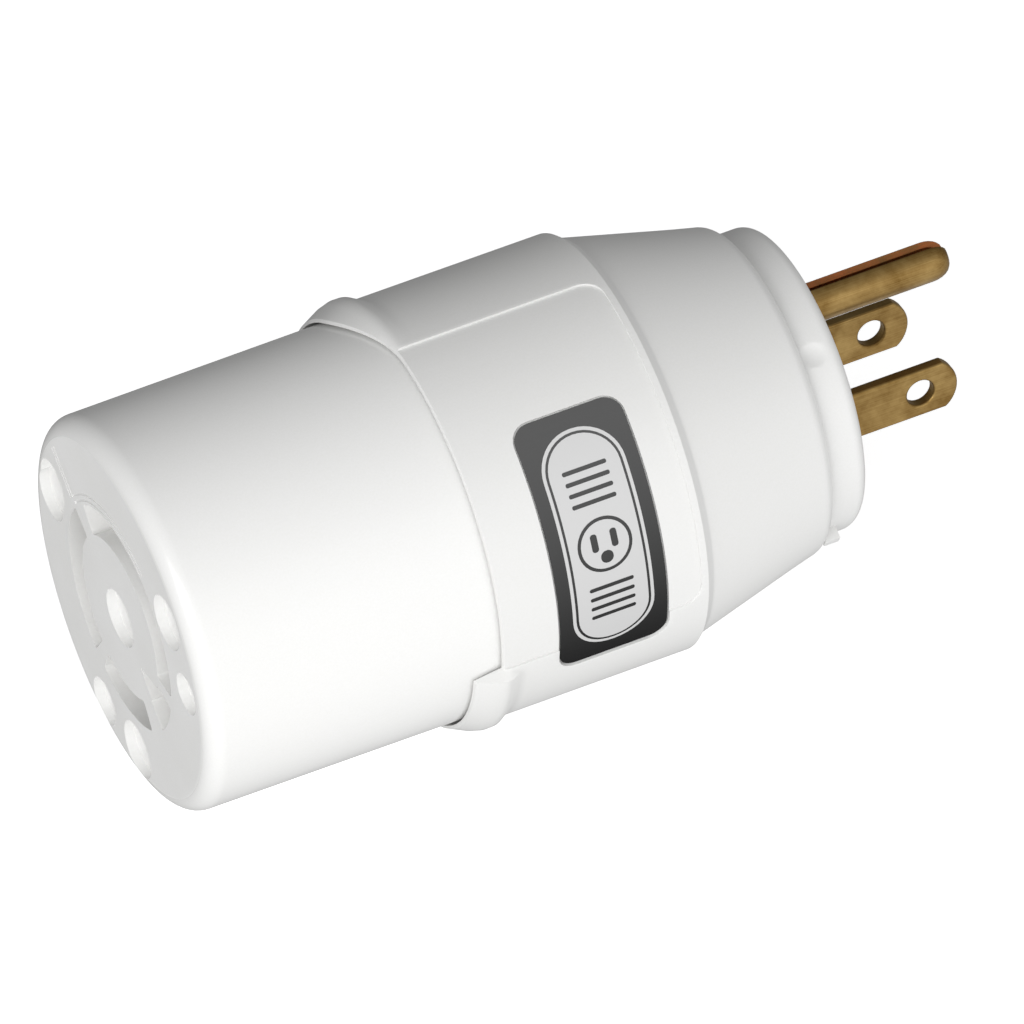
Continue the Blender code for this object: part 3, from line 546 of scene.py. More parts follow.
def print_finish_with_painted_light(name, high, low):
    """Pad-printed label ink: a dark matt tone with painted light, lighter at the label's upper end and
    deepening to its lower one.
    """
    made, tree, place = new_finish(name)
    apart = add_node(tree, "SeparateXYZ", links={"Vector": place})
    # Painted light and shade: the lit upper colour at the label's top runs to the shaded lower colour at its
    # bottom.
    ends = {"From Min": LABEL_LOW[1] * MM, "From Max": LABEL_HIGH[1] * MM}
    painted_light_ramp = add_node(tree, "MapRange", ends, {"Value": apart.outputs["Z"]})
    # Screen grain of a fifth of a millimetre, just enough to keep the tone from looking poured.
    grain = add_node(tree, "TexNoise", {"Scale": per_metre(0.2), "Detail": 2.0}, {"Vector": place})
    spread = add_node(tree, "Math", {"operation": "MULTIPLY_ADD", 1: 0.06}, {0: grain, 2: painted_light_ramp})
    body = add_node(tree, "Mix", {"data_type": "RGBA", "A": low, "B": high}, {"Factor": spread})
    settings = {"IOR": 1.45, "Specular IOR Level": 0.06}
    return close_finish(made, tree, body, grain, (0.45, 0.55), grain, 0.002, settings)


def dress(obj, *finishes):
    """Gives a piece its finishes, in slot order."""
    obj.data.materials.clear()
    for finish in finishes:
        obj.data.materials.append(finish)


# ---- pieces

# Locking slots, as the angles where each starts and ends.
LINE_SLOT = (56.0, 190.0)
NEUTRAL_SLOT = (-50.0, 42.0)
GROUND_SLOT = (243.0, 300.0)
HOOK_SLOT = (199.0, 226.0)
HOOK_TIP = (6.0, 219.0)
HOOK_CORNER = 0.3
HOOK_ROUNDING = 0.35
SLOT_CORNER = 0.6
CENTRE_POCKET = 3.5
# Pockets left by core pins round the rim: distance from the axis, angle and radius.
POCKETS = ((17.2, 147.5, 3.3), (18.1, 175.1, 2.5), (19.0, 294.6, 2.9), (18.3, 267.8, 3.5))
LONG_POCKET = (18.1, 22.3, 3.1)
LONG_POCKET_OFFSET = 3.6
# Flat left between the face's rounding and its middle, and the step inside the bore.
FACE_MARGIN = 0.35
BODY_SHOULDER = 36.2
# The spigot that the collar slides over, with its snap bead.
SPIGOT_RADIUS = 21.9
SPIGOT_END = 44.0
BEAD_BACK = 2.2
BEAD_HEIGHT = 0.45
# Rib that borders the blank field above the slots: an arc with one end running out to the rim.
RIB_RADIUS = 14.2
RIB_ANGLES = (44.0, 126.0)
RIB_LEG = ((14.5, 42.5), (20.6, 43.5))
RIB_WIDTH = 0.45
RIB_GROOVE = 0.28
RIB_DEPTH = 0.14
RIB_CORNER = 0.1


def hook_cutter(low, high, inner, outer):
    """Cutter for the short slot whose inner side runs to a point towards the axis."""
    slot = swept_slot(inner, outer, low, high, *HOOK_SLOT, HOOK_CORNER)
    clear_selection()
    bpy.ops.mesh.primitive_cylinder_add(vertices=3, radius=1.0 * MM, depth=(high - low) * MM)
    wedge = bpy.context.object
    edit(wedge)
    corners = [polar(inner + 0.6, turn) for turn in (HOOK_SLOT[0] + 2, HOOK_SLOT[1] - 2)]
    corners += [polar(*HOOK_TIP)]
    shape = bmesh.from_edit_mesh(wedge.data)
    turns = sorted({round(atan2(v.co.y, v.co.x), 3) for v in shape.verts})
    for vert in shape.verts:
        x, y = corners[turns.index(round(atan2(vert.co.y, vert.co.x), 3))]
        vert.co = (x * MM, y * MM, vert.co.z + (low + high) / 2 * MM)
    bmesh.update_edit_mesh(wedge.data)
    pick(wedge, upright, "edges")
    bpy.ops.mesh.bevel(offset=HOOK_ROUNDING * MM, segments=4, affect="EDGES")
    close_up(wedge)
    cut(slot, wedge, operation="UNION")
    return slot


class ADAPTER_OT_receptacle_body(bpy.types.Operator):
    """Front shell, with its locking slots, pockets and the fine rib on its face"""

    bl_idname = "adapter.receptacle_body"
    bl_label = "Receptacle body"

    def execute(self, context):
        sizes = context.scene.adapter_body
        colours = context.scene.adapter_colours
        radius = sizes.radius / MM
        front = radius - sizes.draft / MM
        fillet = sizes.fillet / MM
        wall = sizes.wall / MM
        bore = sizes.bore / MM
        flat = front - fillet - FACE_MARGIN
        side = steps_between(fillet, BODY_SHOULDER, 1.6)
        bead = SPIGOT_END - BEAD_BACK
        profile = [(flat, 0.0)]
        profile += arc((front - fillet, fillet), fillet, -90, 0, 12)
        profile += [(front + (radius - front) * (z - fillet) / (BODY_SHOULDER - fillet), z) for z in side]
        profile += [(SPIGOT_RADIUS, BODY_SHOULDER), (SPIGOT_RADIUS, bead - 0.9)]
        profile += [(SPIGOT_RADIUS + BEAD_HEIGHT, bead), (SPIGOT_RADIUS, bead + 0.7)]
        profile += [(SPIGOT_RADIUS, SPIGOT_END), (bore, SPIGOT_END)]
        profile += [(bore, z) for z in steps_between(SPIGOT_END, wall, 3.0)]
        profile += [(bore - FACE_MARGIN, wall)]
        profile = [(r, FACE_Z + z) for r, z in profile]
        body = turn_up(profile, front=True, back=True)
        # Cutters start clear of the face and run out behind it.
        low = FACE_Z - 1
        high = FACE_Z + wall + 1
        inner = sizes.slot_inner / MM
        outer = sizes.slot_outer / MM
        for start, end in (LINE_SLOT, NEUTRAL_SLOT, GROUND_SLOT):
            cut(body, swept_slot(inner, outer, low, high, start, end, SLOT_CORNER))
        cut(body, hook_cutter(low, high, inner, outer))
        floor = FACE_Z + sizes.pocket_depth / MM
        cut(body, drill(CENTRE_POCKET, low, floor))
        for distance, angle, size in POCKETS:
            cut(body, drill(size, low, floor, *polar(distance, angle)))
        distance, angle, size = LONG_POCKET
        ends = [polar(distance, angle + LONG_POCKET_OFFSET * part) for part in (-1, 1)]
        pocket = drill(size, low, floor, *ends[0])
        cut(pocket, drill(size, low, floor, *ends[1]), operation="UNION")
        cut(body, pocket)
        soften(body, sizes.soft_edge / MM, segments=3)
        # A fine groove on each side sets the rib off from the face.
        groove_floor = FACE_Z + RIB_DEPTH
        for offset in (-RIB_WIDTH / 2 - RIB_GROOVE, RIB_WIDTH / 2):
            edge = RIB_RADIUS + offset
            cut(body, swept_slot(edge, edge + RIB_GROOVE, low, groove_floor, *RIB_ANGLES, RIB_CORNER))
        (x0, y0), (x1, y1) = (polar(*end) for end in RIB_LEG)
        heading = degrees(atan2(y1 - y0, x1 - x0))
        for side in (-1, 1):
            shift = polar(side * (RIB_WIDTH + RIB_GROOVE) / 2, heading + 90)
            place = ((x0 + x1) / 2 + shift[0], (y0 + y1) / 2 + shift[1], (low + groove_floor) / 2)
            cut(body, bar((hypot(x1 - x0, y1 - y0), RIB_GROOVE, groove_floor - low), place, heading))
        smooth(body)
        dress(body, nylon_finish("white_nylon_gloss_moulded", 0.24, colours.nylon, colours.nylon_shade),
              face_finish_with_painted_shade("white_nylon_face_textured", colours.face, colours.face_shade))
        # The flat face takes the greyer finish as painted shade; the pockets' floors and the slots keep the
        # white nylon.
        for face in body.data.polygons:
            on_face = abs(face.center.z / MM - FACE_Z) < 0.03
            face.material_index = int(face.normal.z < -0.98 and on_face)
        finish_piece(body, "receptacle_shell", "white_nylon", "receptacle_body")
        return {"FINISHED"}


# Each tab starts with a square edge, stays full and then ramps back to the collar.
TAB_EDGES = (16.0, 196.0)
TAB_FULL = 44.0
TAB_RAMP = 38.0
# Heights from the face, front to back.
COLLAR_FRONT = 35.6
LIP_END = 37.6
COLLAR_BACK = 60.8
CONE_START = 62.0
MOUTH_DEPTH = 76.3
SHELL_END = 79.3
SHELL_MOUTH = 15.3
CONE_FILLET = 1.8
LIP_BORE = 23.75
# Outer sections of the lip between the tabs and on a tab: how far in from its outside, and the height.
SQUARE_LIP = ((0.0, 36.6), (0.04, 36.1), (0.2, 35.75), (0.5, COLLAR_FRONT))
FLARED_LIP = ((0.02, 36.3), (0.0, 35.5), (0.3, 34.4))
# Inside of the shell, from the lip to the cone's small end: radius and height.
SHELL_INSIDE = (
    (LIP_BORE, 36.5), (22.2, 36.5), (22.2, 44.3), (21.3, 46.0), (21.05, 61.0), (17.7, MOUTH_DEPTH),
)
PANEL_ANGLES = (94.0, 194.0)
PANEL_END = 60.0
PANEL_CORNER = 2.4
LABEL_ANGLES = (128.0, 202.5)
LABEL_SPAN = (42.6, 55.8)
LABEL_CORNER = 2.2
SEAT_DEPTH = 0.54
CUTTER_HEIGHT = 2.0


def tab_height(angle):
    """How much of a full tab the lip has at an angle: 1 on a tab, 0 between them, smooth on the ramp."""
    turn = (angle - TAB_EDGES[0]) % (TAB_EDGES[1] - TAB_EDGES[0])
    if turn <= TAB_FULL:
        return 1.0
    part = min(1.0, (turn - TAB_FULL) / TAB_RAMP)
    return 1 - part * part * (3 - 2 * part)


def draw_tabs(shell, square, flared):
    """Draws the collar's square front edge out into its two flared tabs."""
    edit(shell)
    shape = bmesh.from_edit_mesh(shell.data)
    for vert in shape.verts:
        radius = hypot(vert.co.x, vert.co.y) / MM
        for (r0, z0), (r1, z1) in zip(square, flared):
            if abs(radius - r0) < 1e-3 and abs(vert.co.z / MM - FACE_Z - z0) < 1e-3:
                height = tab_height(degrees(atan2(vert.co.y, vert.co.x)))
                scale = (r0 + (r1 - r0) * height) / radius
                vert.co = (vert.co.x * scale, vert.co.y * scale, (FACE_Z + z0 + (z1 - z0) * height) * MM)
                break
    bmesh.update_edit_mesh(shell.data)
    bpy.ops.object.mode_set(mode="OBJECT")


def bent_sheet(radius, angles, span, corner, thickness, rows=1.0):
    """A flat plate with rounded corners, cut into strips, bent round the axis and thickened outwards."""
    tall = radians(angles[1] - angles[0]) * radius
    wide = span[1] - span[0]
    clear_selection()
    bpy.ops.mesh.primitive_plane_add(size=1)
    obj = bpy.context.object
    obj.scale = (wide * MM, tall * MM, 1)
    settle()
    edit(obj)
    pick(obj, lambda vert: True)
    bpy.ops.mesh.bevel(offset=corner * MM, segments=10, affect="VERTICES")
    for y in steps_between(-tall / 2, tall / 2, rows)[:-1]:
        bpy.ops.mesh.select_all(action="SELECT")
        bpy.ops.mesh.bisect(plane_co=(0, y * MM, 0), plane_no=(0, 1, 0))
    bpy.ops.mesh.select_all(action="SELECT")
    bpy.ops.mesh.extrude_region_move(TRANSFORM_OT_translate={"value": (0, 0, thickness * MM)})
    bpy.ops.object.mode_set(mode="OBJECT")
    wrap(obj, radius, sum(angles) / 2, FACE_Z + sum(span) / 2)
    close_up(obj)
    return obj


def wrap(obj, radius, angle, height):
    """Bends a flat piece round the axis: its x goes along the axis and its y round it."""
    edit(obj)
    shape = bmesh.from_edit_mesh(obj.data)
    for vert in shape.verts:
        along, across, out = (c / MM for c in vert.co)
        x, y = polar(radius + out, angle + degrees(across / radius))
        vert.co = (x * MM, y * MM, (height + along) * MM)
    bmesh.update_edit_mesh(obj.data)
    bpy.ops.object.mode_set(mode="OBJECT")


class ADAPTER_OT_rear_shell(bpy.types.Operator):
    """Collar with its two flared tabs and shallow panel, shoulder and cone"""

    bl_idname = "adapter.rear_shell"
    bl_label = "Rear shell"

    def execute(self, context):
        sizes = context.scene.adapter_shell
        colours = context.scene.adapter_colours
        collar = sizes.collar_radius / MM
        shoulder = sizes.shoulder_radius / MM
        cone = sizes.cone_radius / MM
        crown_start = SHELL_END - CONE_FILLET
        profile = [(SHELL_MOUTH, SHELL_END), (17.0, SHELL_END)]
        profile += arc((cone - CONE_FILLET, crown_start), CONE_FILLET, 90, 8, 10)
        for t in steps_between(0.06, 0.985, 0.1):
            profile += [(cone + (shoulder - cone) * t, crown_start + (CONE_START - crown_start) * t)]
        profile += [(shoulder, CONE_START), (shoulder + 0.12, CONE_START - 0.25)]
        profile += [(collar - 0.25, 61.1), (collar, COLLAR_BACK)]
        profile += [(collar, z) for z in steps_between(COLLAR_BACK, LIP_END, 1.0)]
        square = [(collar - inset, z) for inset, z in SQUARE_LIP] + [(LIP_BORE, COLLAR_FRONT + 0.01)]
        flare = collar + sizes.flare / MM
        flared = [(flare - inset, z) for inset, z in FLARED_LIP] + [(24.15, 32.4), (LIP_BORE, 32.25)]
        profile += [*square, *SHELL_INSIDE]
        profile += [(SHELL_MOUTH, MOUTH_DEPTH), (SHELL_MOUTH, SHELL_END)]
        profile = [(r, FACE_Z + z) for r, z in profile]
        shell = turn_up(profile)
        draw_tabs(shell, square, flared)
        close_up(shell)
        panel_floor = collar - sizes.panel_depth / MM
        panel_span = (COLLAR_FRONT - 2 * PANEL_CORNER, PANEL_END)
        cut(shell, bent_sheet(panel_floor, PANEL_ANGLES, panel_span, PANEL_CORNER, CUTTER_HEIGHT))
        seat_angles = (LABEL_ANGLES[0] - 0.5, LABEL_ANGLES[1] + 0.5)
        seat_span = (LABEL_SPAN[0] - 0.2, LABEL_SPAN[1] + 0.2)
        seat_floor = collar - SEAT_DEPTH
        cut(shell, bent_sheet(seat_floor, seat_angles, seat_span, LABEL_CORNER + 0.2, CUTTER_HEIGHT))
        soften(shell, 0.12, angle=42)
        smooth(shell)
        dress(shell, nylon_finish("white_nylon_satin_moulded", 0.31, colours.shell, colours.shell_shade))
        finish_piece(shell, "collar_and_cone", "white_nylon", "rear_shell")
        return {"FINISHED"}


# The nose reaches a little way into the cone, so that no gap shows.
NOSE_LENGTH = 4.4
NOSE_OVERLAP = 0.28
# Gate mark: a shallow dish cut by a sphere.
GATE_RADIUS = 4.5
GATE_DEPTH = 0.3
GATE_ANGLE = 135.0
GATE_Z = -3.2
NIB_ANGLE = 216.0
NIB_SIZE = (2.0, 1.3, 1.8)
BOSS_RADIUS = 15.0
BOSS_END = -16.0
BLADE_SPACING = 12.7
BLADE_SLOT = (2.1, 6.8, 20.0)
PIN_HOLE = 2.65
# Retainer screw holes: radius, place and depth.
SCREW_HOLE = 1.8
SCREW_PLACE = (10.2, -9.0)
SCREW_DEPTH = 6.5
BLADE_Y = (BLADE_LOW[1] + BLADE_HIGH[1]) / 2
PIN_Y = BLADE_Y + 11.9


class ADAPTER_OT_plug_nose(bpy.types.Operator):
    """Blade carrier that closes the plug end, with its blade slots and pin hole"""

    bl_idname = "adapter.plug_nose"
    bl_label = "Plug nose"

    def execute(self, context):
        sizes = context.scene.adapter_shell
        colours = context.scene.adapter_colours
        radius = sizes.nose_radius / MM
        fillet = sizes.nose_fillet / MM
        profile = [(radius - fillet - FACE_MARGIN, 0.0)]
        profile += arc((radius - fillet, -fillet), fillet, 90, 0, 10)
        back = -NOSE_LENGTH - NOSE_OVERLAP
        profile += [(radius, z) for z in steps_between(-fillet, back, 1.0)]
        profile += [(BOSS_RADIUS, back), (BOSS_RADIUS, BOSS_END)]
        nose = turn_up(profile, front=True, back=True)
        for side in (-1, 1):
            cut(nose, bar(BLADE_SLOT, (side * BLADE_SPACING / 2, BLADE_Y, BOSS_END / 2)))
            screw = (side * SCREW_PLACE[0], SCREW_PLACE[1])
            cut(nose, drill(SCREW_HOLE, BOSS_END - 1, BOSS_END + SCREW_DEPTH, *screw, segments=32))
        cut(nose, drill(PIN_HOLE, BOSS_END - 1, 1.0, 0.0, PIN_Y))
        clear_selection()
        centre = (*polar(radius + GATE_RADIUS - GATE_DEPTH, GATE_ANGLE), GATE_Z)
        bpy.ops.mesh.primitive_uv_sphere_add(
            segments=48, ring_count=24, radius=GATE_RADIUS * MM, location=[c * MM for c in centre],
        )
        cut(nose, bpy.context.object)
        # Stop nib that keys the nose into the cone.
        nib = bar(NIB_SIZE, (*polar(radius + 0.5, NIB_ANGLE), back + 0.3), NIB_ANGLE)
        cut(nose, nib, operation="UNION")
        soften(nose, 0.15)
        smooth(nose)
        dress(nose, nylon_finish("white_nylon_nose_moulded", 0.31, colours.shell, colours.shell_shade))
        finish_piece(nose, "blade_nose", "white_nylon", "plug_nose")
        return {"FINISHED"}


TIP_STEPS = 8
# The wide part of a blade ends behind the boss, and a narrower tail runs on to its terminal.
BLADE_BACK = BOSS_END - 3.3
TAIL_TAPER = 1.0
TAIL_SHARE = 0.68
TAIL_END = -26.0
HOLE_Z = 11.6


def blade_blank(sizes):
    """One blade: a bar whose end is drawn to an arc in steps, pierced and coined along its edges."""
    half = sizes.blade_width / 2 / MM
    rise = sizes.tip_rise / MM
    length_out = sizes.blade_length / MM
    thick = sizes.blade_thickness / MM
    tip_radius = (half * half + rise * rise) / (2 * rise)
    sweep = asin(half / tip_radius)
    centre = length_out - tip_radius
    start = centre + tip_radius * cos(sweep)
    blade = bar((thick, 2 * half, start - BLADE_BACK), (0, 0, (start + BLADE_BACK) / 2))
    edit(blade)
    pick(blade, lambda f: f.normal.z > 0.9, "faces")
    width, height = half, start
    for i in range(1, TIP_STEPS + 1):
        # The last half step leaves the tip a narrow flat.
        turn = sweep * (1 - i / (TIP_STEPS + 0.5))
        new_width = tip_radius * sin(turn)
        new_height = centre + tip_radius * cos(turn)
        grow(FACES, new_height - height, new_height, deep=new_width / width)
        width, height = new_width, new_height
    pick(blade, lambda f: f.normal.z < -0.9, "faces")
    grow(FACES, -TAIL_TAPER, BLADE_BACK - TAIL_TAPER, deep=TAIL_SHARE)
    grow(FACES, TAIL_END - BLADE_BACK, TAIL_END)
    close_up(blade)
    hole = drill(sizes.hole_radius / MM, -3, 3)
    hole.rotation_euler = (0, pi / 2, 0)
    hole.location = (0, 0, HOLE_Z * MM)
    cut(blade, hole)
    # Coining: the rim and the hole's edges rounded by the die.
    apply_modifier(
        blade, "BEVEL", width=sizes.coining, segments=4, limit_method="ANGLE",
        angle_limit=radians(50), use_clamp_overlap=False, loop_slide=False,
    )
    smooth(blade)
    return blade


class ADAPTER_OT_blades(bpy.types.Operator):
    """Line and neutral blades, each with its rounded end and hole"""

    bl_idname = "adapter.blades"
    bl_label = "Blades"

    def execute(self, context):
        colours = context.scene.adapter_colours
        finish = brass_finish("stamped_brass_tarnished", colours.brass, colours.brass_tarnish)
        first = blade_blank(context.scene.adapter_pins)
        dress(first, finish)
        second = first.copy()
        second.data = first.data.copy()
        context.scene.collection.objects.link(second)
        for blade, name, side in ((first, "line_blade", -1), (second, "neutral_blade", 1)):
            blade.location = (side * BLADE_SPACING / 2 * MM, BLADE_Y * MM, 0)
            context.view_layer.update()
            finish_piece(blade, name + "_brass", "brass", name)
        return {"FINISHED"}


# The pin's end is drawn in over a quarter turn: its length, steps and the share of the radius lost.
DRAW_LENGTH = 1.9
DRAW_STEPS = 6
DRAW_SHARE = 0.52


class ADAPTER_OT_ground_pin(bpy.types.Operator):
    """Ground pin rolled from sheet, with its open slit and drawn-in tip"""

    bl_idname = "adapter.ground_pin"
    bl_label = "Ground pin"

    def execute(self, context):
        sizes = context.scene.adapter_pins
        colours = context.scene.adapter_colours
        wall = sizes.pin_wall / MM
        middle = sizes.pin_radius / MM - wall / 2
        tip = PIN_HIGH[2] - 0.08
        low = PIN_LOW[2]
        half_slit = sizes.pin_slit / 2
        clear_selection()
        bpy.ops.mesh.primitive_circle_add(vertices=96, radius=middle * MM, location=(0, 0, low * MM))
        pin = bpy.context.object
        settle()
        edit(pin)
        turn = sizes.pin_turn
        pick(pin, lambda v: abs(atan2(v.co.x, v.co.y) - turn) < half_slit)
        bpy.ops.mesh.delete(type="VERT")
        pick(pin, lambda e: True, "edges")
        draw_start = tip - wall * 0.4 - DRAW_LENGTH
        stations = [(middle, z) for z in steps_between(low, draw_start, 2.0)]
        for i in range(1, DRAW_STEPS + 1):
            a = radians(90 * i / DRAW_STEPS)
            stations += [(middle * (1 - DRAW_SHARE * (1 - cos(a))), draw_start + DRAW_LENGTH * sin(a))]
        radius, height = middle, low
        for new_radius, new_height in stations:
            share = new_radius / radius
            grow(EDGES, new_height - height, new_height, share, share)
            radius, height = new_radius, new_height
        close_up(pin)
        wiped = brass_finish("rolled_brass_pin", colours.brass, colours.brass_tarnish)
        heated = brass_finish("heat_toned_brass", colours.brass_heat, colours.brass_tarnish, 0.5, oxide=0.6)
        dress(pin, wiped, heated)
        apply_modifier(pin, "SOLIDIFY", thickness=wall * MM, offset=0.0, use_even_offset=True)
        soften(pin, 0.14, segments=3)
        smooth(pin)
        # The sheet's sheared edges and its inside keep the copper-red tone; the outside is wiped bright.
        for face in pin.data.polygons:
            out = face.normal.dot(Vector((face.center.x, face.center.y, 0)).normalized())
            inside = out < 0 and hypot(face.center.x, face.center.y) < (middle - wall * 0.3) * MM
            sheared = abs(out) < 0.5 and abs(face.normal.z) < 0.3
            face.material_index = int(inside or sheared)
        pin.location = (0, PIN_Y * MM, 0)
        context.view_layer.update()
        finish_piece(pin, "ground_pin_brass", "brass", "ground_pin")
        return {"FINISHED"}


LABEL_THICKNESS = 0.12
# Label's top below the collar's radius, and how far each printed layer stands above the one under it.
LABEL_SUNK = 0.24
INK_STEP = 0.014
INK_START = 0.012
INK_THICKNESS = 0.012


class ADAPTER_OT_label(bpy.types.Operator):
    """Dark label in the collar's panel, with a plain outlet symbol on a pale field"""

    bl_idname = "adapter.label"
    bl_label = "Label"

    def execute(self, context):
        colours = context.scene.adapter_colours
        base = COLLAR_RADIUS - LABEL_SUNK
        plate = bent_sheet(
            base - LABEL_THICKNESS, LABEL_ANGLES, LABEL_SPAN, LABEL_CORNER, LABEL_THICKNESS,
        )
        middle = sum(LABEL_ANGLES) / 2
        across = sum(LABEL_SPAN) / 2
        # Both finishes are lighter at the label's upper end and darker at its lower end: painted light and
        # shade.
        dark = print_finish_with_painted_light("label_ink_matt", colours.ink, colours.ink_shaded)
        pale = print_finish_with_painted_light("label_pale_field", colours.paper, dimmed(colours.paper, 0.86))
        dress(plate, dark, pale)

        def patch(width, height, corner, layer, along=0.0, turn=0.0, slot=0):
            """A thin printed patch on the label."""
            radius = base + INK_START + INK_STEP * layer
            half = degrees(height / 2 / radius)
            centre = middle + degrees(turn / radius)
            span = (across + along - width / 2, across + along + width / 2)
            obj = bent_sheet(radius, (centre - half, centre + half), span, corner, INK_THICKNESS, 0.5)
            dress(obj, dark, pale)
            for face in obj.data.polygons:
                face.material_index = slot
            return obj

        # Pale field with a dark line just inside its edge.
        patches = [patch(10.0, 27.4, 4.9, 0, slot=1), patch(9.2, 26.6, 4.55, 1)]
        patches += [patch(8.6, 26.0, 4.25, 2, slot=1)]
        # Outlet symbol: a ring, two blade openings and a ground opening.
        patches += [patch(6.6, 6.6, 3.25, 3), patch(5.8, 5.8, 2.85, 4, slot=1)]
        patches += [patch(0.8, 2.2, 0.35, 5, along=side * 1.2, turn=-0.5) for side in (-1, 1)]
        patches += [patch(1.5, 1.5, 0.7, 5, turn=1.5)]
        # Plain rules that frame the symbol.
        for side in (-1, 1):
            patches += [patch(5.4, 0.5, 0.22, 3, turn=side * (5.2 + 1.3 * i)) for i in range(4)]
        join(plate, *patches)
        smooth(plate)
        finish_piece(plate, "label_print", "label_print", "label_plate")
        return {"FINISHED"}


class ADAPTER_OT_inner_parts(bpy.types.Operator):
    """Finishes of the carrier, cover, retainer, contacts, terminals, screws and leads inside"""

    bl_idname = "adapter.inner_parts"
    bl_label = "Inner parts"

    def execute(self, context):
        colours = context.scene.adapter_colours
        finishes = {
            "grey_phenolic": resin_finish("moulded_insulating_resin", colours.resin),
            "brass": brass_finish("spring_brass_contact", colours.brass, colours.brass_tarnish, 0.38),
            "tinned_copper": plated_finish("tin_plated_copper", colours.tin, 0.4),
            "zinc_plated_steel": plated_finish("zinc_plated_steel", colours.zinc, 0.34),
            "lead_black": vinyl_finish("black_vinyl_jacket", linear("#1C1C1C")),
            "lead_white": vinyl_finish("white_vinyl_jacket", linear("#DAD9D4")),
            "lead_green": vinyl_finish("green_vinyl_jacket", linear("#1E6B39")),
        }
        for part in frame["record"]["subparts"]:
            node = frame["nodes"][part["node"]]
            if part["material_slot"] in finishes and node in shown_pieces():
                dress(node, finishes[part["material_slot"]])
        return {"FINISHED"}


FLOOR_SIZE = 8.0
FLOOR_GAP = 0.0002
FLOOR_GLOW = 0.62
# Studio walls: the way the bright side faces, and the dimmest and brightest levels.
WALL_FACING = (0.0, -0.94, -0.342)
WALL_LEVELS = (0.07, 1.02)
# Softboxes: name, place, width and height in metres, and power in watts.
SOFTBOXES = (
    ("key_softbox", (0.0, -1.11, 0.38), 2.6, 0.9, 2.0),
    ("face_softbox", (-0.75, -0.55, 0.4), 0.7, 0.5, 3.9),
)
LIGHT_TARGET = Vector((-0.034, 0, 0))
# Camera: its turn round the adapter, its dip past the side view and its roll, in degrees, then its
# distance, the width it sees and the shift of its aim from the face's centre, in metres.
VIEW_TURN = 50
VIEW_DIP = 16.8
VIEW_ROLL = 19.7
VIEW_DISTANCE = 3.0
VIEW_WIDTH = 0.11378
VIEW_SHIFT = (0.04357, 0.01179)
SENSOR_WIDTH = 36


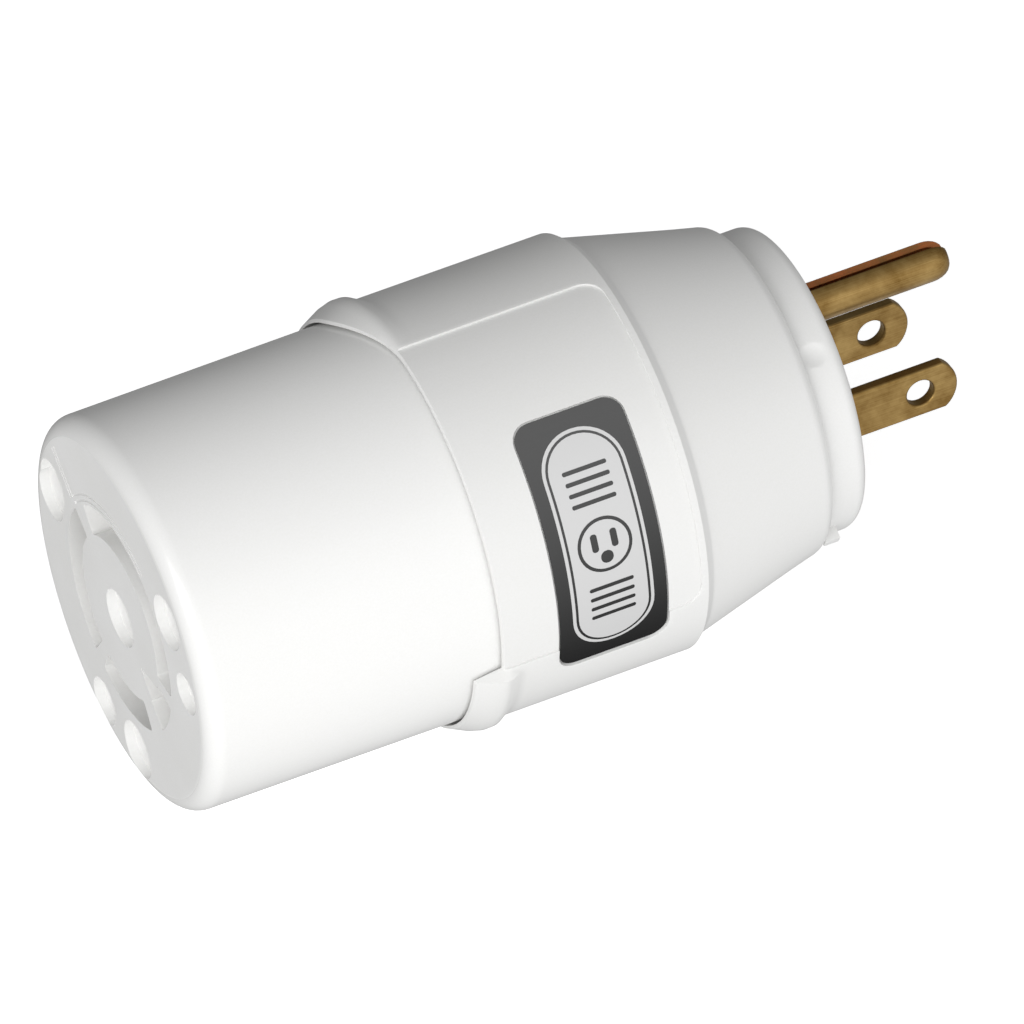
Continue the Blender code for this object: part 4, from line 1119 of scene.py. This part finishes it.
class ADAPTER_OT_stage(bpy.types.Operator):
    """Pale floor, soft studio light and the camera"""

    bl_idname = "adapter.stage"
    bl_label = "Stage"

    def execute(self, context):
        scene = context.scene
        clear_selection()
        bpy.ops.mesh.primitive_plane_add(size=FLOOR_SIZE, location=(0, 0, CAD_LOW.z - FLOOR_GAP))
        floor = bpy.context.object
        floor.name = "floor"
        paper, tree, place = new_finish("white_seamless_paper")
        fibre = add_node(tree, "TexNoise", {"Scale": per_metre(2.0), "Detail": 3.0}, {"Vector": place})
        tones = {"data_type": "RGBA", "A": linear("#F6F6F6"), "B": linear("#FAFAFA")}
        tone = add_node(tree, "Mix", tones, {"Factor": fibre})
        settings = {"Roughness": 0.9, "Emission Color": (1, 1, 1, 1), "Emission Strength": FLOOR_GLOW}
        shader = add_node(tree, "BsdfPrincipled", settings, {"Base Color": tone})
        add_node(tree, "OutputMaterial", links={"Surface": shader})
        dress(floor, paper)
        # The sweep is a backdrop: it neither fills the shaded underside nor shows in the gloss.
        floor.visible_diffuse = False
        floor.visible_glossy = False
        floor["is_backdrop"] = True
        # Studio walls: bright on the key's side and low down, dim above and behind.
        world = bpy.data.worlds.new("studio")
        world.use_nodes = True
        tree = world.node_tree
        tree.nodes.clear()
        way = add_node(tree, "TexCoord").outputs["Generated"]
        facing = add_node(tree, "VectorMath", {"operation": "DOT_PRODUCT", 1: WALL_FACING}, {0: way})
        levels = {"From Min": -1.0, "To Min": WALL_LEVELS[0], "To Max": WALL_LEVELS[1]}
        wall = add_node(tree, "MapRange", levels, {"Value": facing.outputs["Value"]})
        studio = add_node(tree, "Background", {"Color": (1, 1, 1, 1)}, {"Strength": wall})
        add_node(tree, "OutputWorld", links={"Surface": studio})
        scene.world = world
        for name, place, wide, tall, power in SOFTBOXES:
            clear_selection()
            bpy.ops.object.light_add(type="AREA", location=place)
            light = bpy.context.object
            light.name = name
            light.data.shape = "RECTANGLE"
            light.data.size = wide
            light.data.size_y = tall
            light.data.energy = power
            light.rotation_euler = (LIGHT_TARGET - light.location).to_track_quat("-Z", "Y").to_euler()
        turn, dip, roll = radians(VIEW_TURN), radians(VIEW_DIP), radians(VIEW_ROLL)
        axis = Vector((1, 0, 0))
        across = Vector((0, -sin(turn), cos(turn)))
        over = Vector((0, cos(turn), sin(turn)))
        level = cos(dip) * axis + sin(dip) * across
        look = sin(dip) * axis - cos(dip) * across
        right = cos(roll) * level - sin(roll) * over
        up = sin(roll) * level + cos(roll) * over
        aim = Vector((FACE_Z * MM, 0, 0)) + VIEW_SHIFT[0] * right + VIEW_SHIFT[1] * up
        place = aim - VIEW_DISTANCE * look
        clear_selection()
        bpy.ops.object.camera_add(location=place)
        camera = bpy.context.object
        camera.matrix_world = Matrix.Translation(place) @ Matrix((right, up, -look)).transposed().to_4x4()
        camera.data.sensor_width = SENSOR_WIDTH
        camera.data.lens = SENSOR_WIDTH * VIEW_DISTANCE / VIEW_WIDTH
        camera.data.clip_end = 20
        scene.camera = camera
        scene.view_settings.view_transform = "Standard"
        return {"FINISHED"}


OPERATORS = (
    ADAPTER_OT_receptacle_body, ADAPTER_OT_rear_shell, ADAPTER_OT_plug_nose, ADAPTER_OT_blades,
    ADAPTER_OT_ground_pin, ADAPTER_OT_label, ADAPTER_OT_inner_parts, ADAPTER_OT_stage,
)
GROUPS = {
    "adapter_body": AdapterBodySizes,
    "adapter_shell": AdapterShellSizes,
    "adapter_pins": AdapterPinSizes,
    "adapter_colours": AdapterColours,
}


class ADAPTER_PT_panel(bpy.types.Panel):
    """Lists the adapter's pieces in the sidebar"""

    bl_idname = "ADAPTER_PT_panel"
    bl_label = "Power adapter"
    bl_space_type = "VIEW_3D"
    bl_region_type = "UI"
    bl_category = "Adapter"

    def draw(self, context):
        for operator in OPERATORS:
            self.layout.operator(operator.bl_idname)
        for key, group in GROUPS.items():
            box = self.layout.box()
            for prop in group.__annotations__:
                box.prop(getattr(context.scene, key), prop)


def register():
    for group in GROUPS.values():
        bpy.utils.register_class(group)
    for key, group in GROUPS.items():
        setattr(bpy.types.Scene, key, bpy.props.PointerProperty(type=group))
    for operator in OPERATORS:
        bpy.utils.register_class(operator)
    bpy.utils.register_class(ADAPTER_PT_panel)


def unregister():
    bpy.utils.unregister_class(ADAPTER_PT_panel)
    for operator in reversed(OPERATORS):
        bpy.utils.unregister_class(operator)
    for key in GROUPS:
        delattr(bpy.types.Scene, key)
    for group in reversed(GROUPS.values()):
        bpy.utils.unregister_class(group)


def main():
    register()
    for operator in OPERATORS:
        family, name = operator.bl_idname.split(".")
        getattr(getattr(bpy.ops, family), name)()
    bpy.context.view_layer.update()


if __name__ == "__main__":
    main()
